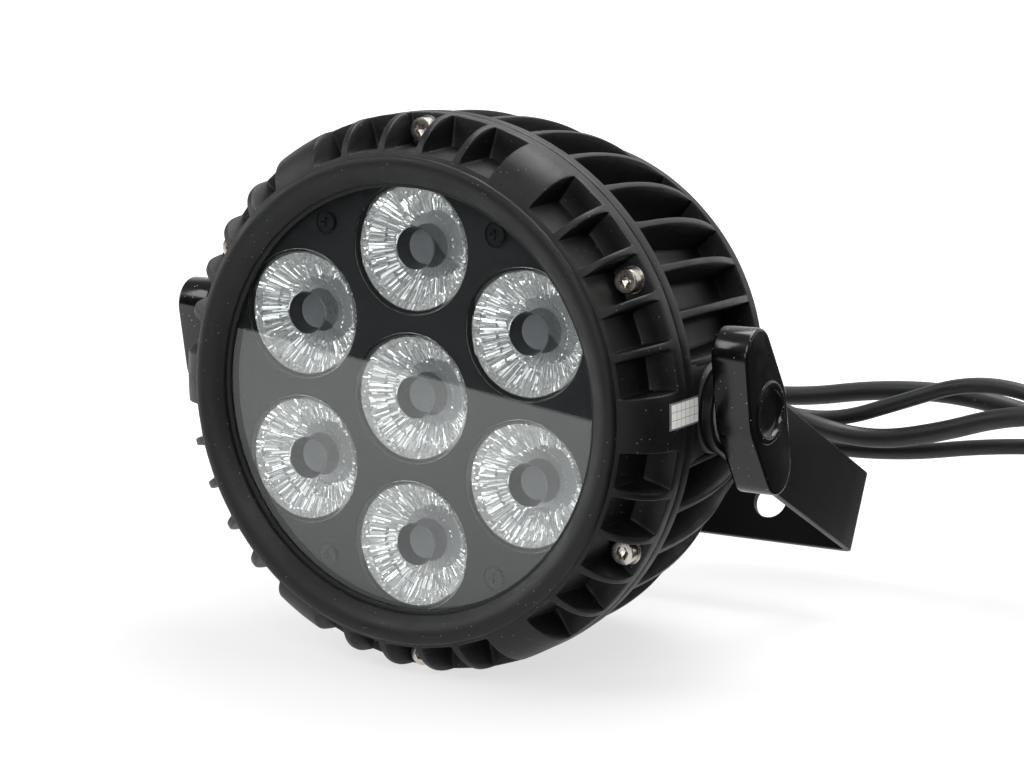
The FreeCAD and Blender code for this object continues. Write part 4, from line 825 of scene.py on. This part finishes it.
def build_lens(name, centre, seed):
    """One lens about a centre in lamp coordinates: clear front, faceted cone, frosted floor."""
    draw = random.Random(seed)
    rows = len(lens_profile)
    points = [lens_point(row, column, draw) + centre for column in range(LENS_COLUMNS)
              for row in range(rows)]
    zone_painted_shades = [[painted_facet_shade(zone, facet, details[4], draw)
               for facet in range(LENS_COLUMNS // details[4])]
              for zone, details in enumerate(CONE_ZONES)]
    faces = grid_faces(LENS_COLUMNS, rows, close_columns=True)
    piece = mesh_piece(name, [lamp_point(*point) for point in points], faces)
    mesh = piece.data
    for material in (lens_clear, lens_mirror, lens_frosted, lens_painted_dark):
        mesh.materials.append(material)
    painted_sparkle_layer = mesh.attributes.new("facet_painted_sparkle", "FLOAT_COLOR", "FACE")
    for index, polygon in enumerate(mesh.polygons):
        column, row = divmod(index, rows - 1)
        zone = min((row - cone_start) // 2, len(CONE_ZONES) - 1)
        kind = CLEAR
        if row < FLOOR_ROWS:
            kind = FROSTED
        elif row < WALL_ROWS:
            kind = MIRROR
            painted_sparkle_layer.data[index].color = (1.0, 1.0, 1.0, 1.0)
        elif row >= rows - 2:
            # the lens's rear face takes the well skin's painted dark
            kind = WALL
        elif row >= cone_start:
            kind = MIRROR
            # the facet's painted brightness or painted rainbow tint
            painted_sparkle_layer.data[index].color = zone_painted_shades[zone][column // CONE_ZONES[zone][4]]
        polygon.material_index = kind
        polygon.use_smooth = kind != MIRROR
    return piece


def build_sleeve(name, centre):
    """A thin skin on the air's side of a well's wall, carrying the wall's painted dark look; within the
    acrylic the wall is a mirror.
    """
    wall = lens_profile[FLOOR_ROWS:WALL_ROWS]
    loop = [(radius - SLEEVE_GAP, depth) for radius, depth in wall]
    loop += [(radius - SLEEVE_GAP - SLEEVE_THICKNESS, depth) for radius, depth in reversed(wall)]
    points = [lamp_point(*(polar(radius, 360 * column / LENS_COLUMNS, depth) + centre))
              for column in range(LENS_COLUMNS) for radius, depth in loop]
    faces = grid_faces(LENS_COLUMNS, len(loop), close_rows=True, close_columns=True)
    sleeve = mesh_piece(name, points, faces)
    sleeve.data.materials.append(lens_painted_dark)
    return sleeve


for number in range(1, LENS_COUNT + 1):
    low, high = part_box(f"lens_{number}")
    middle = ((low + high) / 2 - LAMP_ORIGIN) / MM
    middle.y = 0.0
    optic = build_lens(f"lens_{number}_optic", middle, number)
    optic.visible_shadow = False
    belongs(optic, "head", "lens_acrylic", f"lens_{number}")
    # the well's skin carries its painted dark look
    sleeve = build_sleeve(f"lens_{number}_well", middle)
    sleeve.visible_shadow = False
    belongs(sleeve, "head", "lens_acrylic")
print(f"{LENS_COUNT} lenses of {len(optic.data.polygons)} faces each")

# %% [markdown]
# ## Socket screws in the ring
# Six stainless screws hold the ring to the housing. The head is turned with a small chamfer that
# catches the light, and the hexagonal socket is a separate row of points drawn in to six sides. The
# pattern tree sets one screw and its washer at each place.

# %% A screw head with its washer
SCREW_CIRCLE = 90.3
HEAD_RADIUS = 4.25
HEAD_FRONT = 5.1
WASHER_FRONT = 9.7
SOCKET_RADIUS = 2.3
SCREW_STEPS = 60           # a multiple of twelve, so that points fall on the hexagon's corners
screw_profile = [      # (radius, depth, share of the hexagon's shape)
    (0.01, 8.0, 0), (1.3, 7.8, 1), (SOCKET_RADIUS, 7.3, 1), (SOCKET_RADIUS, HEAD_FRONT + 0.25, 1),
    (SOCKET_RADIUS + 0.18, HEAD_FRONT, 1), (3.4, HEAD_FRONT, 0), (3.85, HEAD_FRONT + 0.1, 0),
    (4.15, HEAD_FRONT + 0.4, 0), (HEAD_RADIUS, HEAD_FRONT + 0.8, 0), (HEAD_RADIUS, WASHER_FRONT - 0.1, 0),
    (4.15, WASHER_FRONT, 0), (4.65, WASHER_FRONT, 0), (4.8, WASHER_FRONT + 0.15, 0),
    (4.8, FLANGE_FRONT - 0.05, 0), (4.7, FLANGE_FRONT, 0), (2.5, FLANGE_FRONT, 0), (2.5, 21.0, 0),
    (0.01, 21.0, 0)]
screw_points = []
for step in range(SCREW_STEPS):
    angle = math.tau * step / SCREW_STEPS
    side = (angle + math.pi / 6) % (math.pi / 3) - math.pi / 6
    hexagon = math.cos(math.pi / 6) / math.cos(side)
    for radius, depth, share in screw_profile:
        reach = radius * (1 + (hexagon - 1) * share)
        screw_points.append(Vector((reach * math.cos(angle), depth, reach * math.sin(angle))) * MM)
screw = mesh_piece("screw", screw_points,
                   grid_faces(SCREW_STEPS, len(screw_profile), close_columns=True))
ring_screws = repeat_round("ring_screws", screw, stainless, 6, radius=SCREW_CIRCLE, start=30.0,
                           smooth_angle=28.0)
belongs(ring_screws, "head", "stainless", "rim_screws", "rim_washers")

# %% [markdown]
# ## The yoke
# The yoke is one strip of steel, bent twice. It is drawn as a strip would be bent: stations along
# the path, each with a cross-section whose long edges are rounded. At both ends the strip narrows to
# a half circle. Its holes are cut last.

# %% The yoke's path
pivot = (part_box("right_stud")[0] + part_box("right_stud")[1]) / 2
YOKE_DROOP = 27.0
YOKE_INNER = 97.2
YOKE_THICKNESS = 3.0
YOKE_HALF_WIDTH = 15.0
YOKE_REACH = 125.0
INNER_BEND = 1.0
EDGE_ROUND = 0.45
middle_bend = INNER_BEND + YOKE_THICKNESS / 2
arm_middle = YOKE_INNER + YOKE_THICKNESS / 2
bar_middle = YOKE_REACH - YOKE_THICKNESS / 2
half_path = []             # (x, along, direction angle, half width) from the right arm's end
END_STEPS = 10
ARM_STEPS = 12
BEND_STEPS = 8
BAR_STEPS = 8
END_HALF_WIDTH = 0.8       # of the first station, so that the round end closes with a small flat
for step in range(END_STEPS + 1):
    angle = math.radians(90 * step / END_STEPS)
    reach = YOKE_HALF_WIDTH * math.cos(angle)
    width = max(YOKE_HALF_WIDTH * math.sin(angle), END_HALF_WIDTH)
    half_path.append((arm_middle, -reach, 90.0, width))
for step in range(1, ARM_STEPS):
    along = (bar_middle - middle_bend) * step / ARM_STEPS
    half_path.append((arm_middle, along, 90.0, YOKE_HALF_WIDTH))
for step in range(BEND_STEPS + 1):
    turn = 90 * step / BEND_STEPS
    angle = math.radians(turn)
    half_path.append((arm_middle - middle_bend + middle_bend * math.cos(angle),
                      bar_middle - middle_bend + middle_bend * math.sin(angle), 90.0 + turn,
                      YOKE_HALF_WIDTH))
for step in range(1, BAR_STEPS + 1):
    x = (arm_middle - middle_bend) * (1 - step / BAR_STEPS)
    half_path.append((x, bar_middle, 180.0, YOKE_HALF_WIDTH))
yoke_path = half_path + [(-x, along, 360.0 - turn, width) for x, along, turn, width in half_path[-2::-1]]


CORNER_STEPS = 3


def strip_section(half_width):
    """(across, out) corners of the strip's section, with rounded long edges."""
    half = YOKE_THICKNESS / 2
    made = []
    for side_across, side_out, first in ((1, 1, 0), (-1, 1, 90), (-1, -1, 180), (1, -1, 270)):
        for step in range(CORNER_STEPS + 1):
            angle = math.radians(first + 90 * step / CORNER_STEPS)
            made.append((side_across * (half_width - EDGE_ROUND) + EDGE_ROUND * math.cos(angle),
                         side_out * (half - EDGE_ROUND) + EDGE_ROUND * math.sin(angle)))
    return made


yoke_points = []
for x, along, turn, half_width in yoke_path:
    outwards = Vector((math.sin(math.radians(turn)), -math.cos(math.radians(turn)), 0))
    for across, out in strip_section(half_width):
        yoke_points.append((Vector((x, along, 0)) + outwards * out + Vector((0, 0, across))) * MM)
section_size = len(strip_section(1.0))
yoke_faces = grid_faces(len(yoke_path), section_size, close_rows=True)
yoke_faces += [tuple(range(section_size))[::-1],
               tuple(range(len(yoke_points) - section_size, len(yoke_points)))]
bent_yoke = mesh_piece("bent_yoke", yoke_points, yoke_faces)
bent_yoke.data.materials.append(powder_coat_satin)

# %% Cutting the yoke's holes
HANG_RADIUS = 6.5
HANG_SPACING = 64.0
PIVOT_HOLE = 5.08
HOLE_STEPS = 48
CUTTER_LENGTH = 12.0
cutters = []


def cutter(radius, place, axis):
    """A cylinder that cuts a hole through the strip, with its middle at a place along an axis."""
    points = []
    for step in range(HOLE_STEPS):
        angle = math.tau * step / HOLE_STEPS
        points += [Vector((radius * math.cos(angle), radius * math.sin(angle), end)) * MM
                   for end in (-CUTTER_LENGTH / 2, CUTTER_LENGTH / 2)]
    faces = grid_faces(HOLE_STEPS, 2, close_columns=True)
    faces += [tuple(range(0, 2 * HOLE_STEPS, 2))[::-1], tuple(range(1, 2 * HOLE_STEPS, 2))]
    made = mesh_piece("cutter", points, faces)
    made.matrix_world = Matrix.Translation(Vector(place) * MM) @ Vector(axis).to_track_quat(
        "Z", "Y").to_matrix().to_4x4()
    cutters.append(made)


for x in (-HANG_SPACING, 0.0, HANG_SPACING):
    cutter(HANG_RADIUS, (x, bar_middle, 0.0), (0, 1, 0))
for x in (-arm_middle, arm_middle):
    cutter(PIVOT_HOLE, (x, 0.0, 0.0), (1, 0, 0))
for made in cutters:
    cut = bent_yoke.modifiers.new("hole", "BOOLEAN")
    cut.operation = "DIFFERENCE"
    cut.solver = "EXACT"
    cut.object = made
bpy.context.view_layer.update()
yoke_mesh = bpy.data.meshes.new_from_object(
    bent_yoke.evaluated_get(bpy.context.evaluated_depsgraph_get()))
bent_yoke.modifiers.clear()
for made in cutters:
    bpy.data.objects.remove(made)
yoke_mesh.transform(Matrix.Translation((0, pivot.y, pivot.z))
                    @ Matrix.Rotation(math.radians(-YOKE_DROOP), 4, "X"))
yoke_mesh.set_sharp_from_angle(angle=math.radians(SMOOTH_ANGLE))
bent_yoke.data = yoke_mesh
belongs(bent_yoke, "yoke", "yoke_coat", "yoke")
print(f"yoke: {len(yoke_mesh.polygons)} faces")

# %% [markdown]
# ## Clamp knobs
# A knob is a gloss moulding: a hub between two tapering wings, with a raised ring round a shallow
# dish on its outer face. Its outline is a path of arcs, and the whole knob is that outline at a run
# of heights, drawn in a little at both faces so that the edges are rounded.

# %% The knob's outline
KNOB_HALF = 31.2
KNOB_TIP = 9.3
KNOB_HUB = 13.8
KNOB_INNER = 101.2
KNOB_THICKNESS = 13.4
KNOB_LEAN = 23.0
TIP_STEPS = 14
HUB_STEPS = 10
WING_STEPS = 5


def knob_outline(inset):
    """The knob's outline drawn in by an inset, as (along, across) points, always the same number."""
    tip_middle = KNOB_HALF - KNOB_TIP
    taper = math.asin((KNOB_HUB - KNOB_TIP) / tip_middle)
    made = []
    for end in (0.0, math.pi):
        centre = tip_middle if end == 0.0 else -tip_middle
        reach = KNOB_TIP - inset
        span = math.pi / 2 - taper
        for step in range(TIP_STEPS + 1):
            angle = end - span + 2 * span * step / TIP_STEPS
            made.append((centre + reach * math.cos(angle), reach * math.sin(angle)))
        hub_reach = KNOB_HUB - inset
        hub = [(hub_reach * math.cos(angle), hub_reach * math.sin(angle))
               for angle in (end + math.pi / 2 - taper + 2 * taper * step / HUB_STEPS
                             for step in range(HUB_STEPS + 1))]
        start = made[-1]
        for step in range(1, WING_STEPS):
            share = step / WING_STEPS
            made.append((start[0] + (hub[0][0] - start[0]) * share,
                         start[1] + (hub[0][1] - start[1]) * share))
        made += hub
        next_angle = end + math.pi - span
        following = (-centre + reach * math.cos(next_angle), reach * math.sin(next_angle))
        for step in range(1, WING_STEPS):
            share = step / WING_STEPS
            made.append((hub[-1][0] + (following[0] - hub[-1][0]) * share,
                         hub[-1][1] + (following[1] - hub[-1][1]) * share))
    return made


def round_outline(radius):
    """The outline's points drawn onto a circle, each in its own direction."""
    return [(radius * x / math.hypot(x, y), radius * y / math.hypot(x, y))
            for x, y in knob_outline(0.0)]


# %% Both knobs
knob_end = KNOB_THICKNESS
levels = [(0.0, round_outline(5.3)), (0.0, knob_outline(1.2)), (0.15, knob_outline(0.5)),
          (0.6, knob_outline(0.12)), (1.2, knob_outline(0.0)), (knob_end - 1.1, knob_outline(0.0)),
          (knob_end - 0.5, knob_outline(0.15)), (knob_end - 0.15, knob_outline(0.5)),
          (knob_end, knob_outline(1.1)), (knob_end, round_outline(11.2)),
          (knob_end + 0.1, round_outline(10.75)), (knob_end + 0.45, round_outline(10.5)),
          (knob_end + 0.6, round_outline(10.1)), (knob_end + 0.6, round_outline(9.0)),
          (knob_end + 0.45, round_outline(8.65)), (knob_end - 0.6, round_outline(8.3)),
          (knob_end - 1.0, round_outline(7.7)), (knob_end - 0.95, round_outline(4.0)),
          (knob_end - 0.9, round_outline(0.05)), (knob_end - 3.2, round_outline(0.04)),
          (knob_end - 3.2, round_outline(5.3))]
for side, name in ((1, "right_knob"), (-1, "left_knob")):
    around = len(levels[0][1])
    knob_points = []
    for index in range(around):
        for height, outline in levels:
            along, across = outline[index]
            lean = math.radians(90 + KNOB_LEAN)
            knob_points.append(Vector((
                side * (KNOB_INNER + height) * MM,
                pivot.y + (along * math.cos(lean) - across * math.sin(lean)) * MM,
                pivot.z + (along * math.sin(lean) + across * math.cos(lean)) * MM)))
    faces = grid_faces(around, len(levels), close_rows=True, close_columns=True)
    if side > 0:
        faces = [face[::-1] for face in faces]
    knob = mesh_piece(f"{name}_moulding", knob_points, faces, smooth_angle=40.0)
    knob.data.materials.append(knob_gloss)
    belongs(knob, name, "knob_plastic", name)
print(f"knob outline of {around} points at {len(levels)} heights")

# %% [markdown]
# ## The table and the room
# The floor is a pale table with its front edge off to the camera's side of the lamp. It glows with
# painted light of its own, dimmer near the lamp and brighter away from it. The glass
# mirrors that table, and above its edge the dim room: this is the soft line across the window.
# Beyond the table the camera sees a white background. A black card lies on the table to the lamp's
# right. It is hidden from the camera, from shadows and from diffuse light, so it is a painted dark
# reflection, seen only in gloss plastic, which looks black only when it has something black to mirror.


# %% The table and the card
TABLE_EDGE = ((-2.6, -1.662), (2.6, 0.782))     # two points on the front edge, in metres
TABLE_REAR = 8.0
TABLE_SPREAD = 2.0             # how much further the table reaches to the left at its rear
TABLE_PAINTED_GLOW = (0.68, 1.1)       # painted light of its own: lower near the lamp, higher away from it
PAINTED_GLOW_AT = (0.16, 0.55)         # metres from the lamp where that change starts and ends
CARD_LEFT = 0.13
CARD_FRONT = -0.7
CARD_LIFT = 0.001              # above the table


def stage_piece(name, corners, finish):
    """A flat piece of the set, which isn't part of the lamp."""
    mesh = bpy.data.meshes.new(name)
    mesh.from_pydata(corners, [], [tuple(range(len(corners)))])
    mesh.materials.append(finish)
    piece = bpy.data.objects.new(name, mesh)
    bpy.context.scene.collection.objects.link(piece)
    return piece


table_finish, table_tree, table_shader = new_material("laminate_white_matte_painted_glow")
table_shader.inputs["Base Color"].default_value = colour("#8e8e8e")
table_shader.inputs["Roughness"].default_value = 0.75
table_shader.inputs["Specular IOR Level"].default_value = 0.2
# The table's painted glow: dimmer near the lamp, brighter away from it.
table_shader.inputs["Emission Color"].default_value = colour("#ffffff")
table_place = add_node(table_tree, "ShaderNodeTexCoord").outputs["Object"]
table_away = add_node(table_tree, "ShaderNodeVectorMath", {"operation": "LENGTH"}, input0=table_place)
table_painted_glow = ramp(table_tree, table_away.outputs["Value"], *TABLE_PAINTED_GLOW, at=PAINTED_GLOW_AT)
table_tree.links.new(table_painted_glow, table_shader.inputs["Emission Strength"])
stage_piece("table", [(*TABLE_EDGE[0], 0.0), (*TABLE_EDGE[1], 0.0), (TABLE_EDGE[1][0], TABLE_REAR, 0.0),
                      (TABLE_EDGE[0][0] - TABLE_SPREAD, TABLE_REAR, 0.0)], table_finish)
card_finish, _, card_shader = new_material("card_black_velvet_painted_reflection")
card_shader.inputs["Base Color"].default_value = colour("#050505")
card_shader.inputs["Roughness"].default_value = 0.9
CARD_RIGHT = TABLE_EDGE[1][0]
card = stage_piece("card", [(CARD_LEFT, CARD_FRONT, CARD_LIFT), (CARD_RIGHT, CARD_FRONT, CARD_LIFT),
                            (CARD_RIGHT, TABLE_REAR, CARD_LIFT), (CARD_LEFT, TABLE_REAR, CARD_LIFT)],
                   card_finish)
# Painted dark reflection: the card is hidden from the camera, from shadows and from diffuse light, so only
# gloss reflections see it.
card.visible_camera = False
card.visible_shadow = False
card.visible_diffuse = False
card.visible_transmission = False

# %% [markdown]
# ## The light
# A large softbox above and a little behind gives the tops of the ribs their sheen. Three panels in
# front stand round the line of sight, and one stands to the left. The faceted cones mirror them in
# hundreds of pieces. Together with the facets' painted brightness, this makes the sparkle of the
# lenses. The room itself is dim, so that black stays black: only its ceiling and the sweep behind the
# table are bright.

# %% Softboxes and the room
LIGHTS = (             # name, place and aim in metres, width, height, brightness
    ("top_softbox", (0.2, 0.35, 1.25), (0.0, 0.0, 0.1), 1.2, 0.8, 6.0),
    ("front_right_panel", (0.75, -1.35, 1.05), (0.0, 0.0, 0.1), 0.8, 0.8, 5.0),
    ("front_left_panel", (-0.85, -1.0, 1.15), (0.0, 0.0, 0.1), 0.8, 0.7, 5.0),
    ("low_panel", (0.2, -1.5, 0.28), (0.0, 0.0, 0.1), 0.5, 0.35, 4.5),
    ("left_panel", (-1.5, -0.35, 0.5), (0.0, 0.0, 0.1), 0.7, 0.8, 3.6),
)
for name, place, aim, width, height, brightness in LIGHTS:
    lamp_data = bpy.data.lights.new(name, "AREA")
    lamp_data.shape = "RECTANGLE"
    lamp_data.size = width
    lamp_data.size_y = height
    lamp_data.energy = brightness * math.pi * width * height
    lamp = bpy.data.objects.new(name, lamp_data)
    bpy.context.scene.collection.objects.link(lamp)
    lamp.location = place
    lamp.rotation_euler = (Vector(aim) - Vector(place)).to_track_quat("-Z", "Y").to_euler()

CEILING = (0.03, 0.3)          # brightness of the room low down and overhead
CEILING_AT = (0.1, 0.9)        # height of the direction where that change starts and ends
SWEEP_AT = (0.25, 0.6)         # how far a direction points to the rear where the sweep starts, is full
HORIZON_AT = (-0.02, 0.02)     # height of the direction across which the sweep begins
BACKGROUND_STRENGTH = 1.05     # a little over white, so that it stays pure white
world = bpy.data.worlds.new("studio")
bpy.context.scene.world = world
world.use_nodes = True
room = world.node_tree
room.nodes.clear()
direction = add_node(room, "ShaderNodeTexCoord").outputs["Generated"]
parts = add_node(room, "ShaderNodeSeparateXYZ", Vector=direction).outputs
ceiling = ramp(room, parts["Z"], *CEILING, at=CEILING_AT)
behind = ramp(room, parts["Y"], 0.0, 1.0, at=SWEEP_AT)
above = ramp(room, parts["Z"], 0.0, 1.0, at=HORIZON_AT)
sweep = add_node(room, "ShaderNodeMath", {"operation": "MULTIPLY"}, input0=behind, input1=above).outputs[0]
walls = add_node(room, "ShaderNodeMath", {"operation": "MAXIMUM"}, input0=ceiling, input1=sweep).outputs[0]
dim = add_node(room, "ShaderNodeBackground", Color=walls)
white = add_node(room, "ShaderNodeBackground", Color=colour("#ffffff"), Strength=BACKGROUND_STRENGTH)
seen = add_node(room, "ShaderNodeLightPath").outputs["Is Camera Ray"]
both = add_node(room, "ShaderNodeMixShader", Fac=seen, input1=dim.outputs[0], input2=white.outputs[0])
add_node(room, "ShaderNodeOutputWorld", Surface=both.outputs[0])
bpy.context.scene.view_settings.view_transform = "Standard"

# %% [markdown]
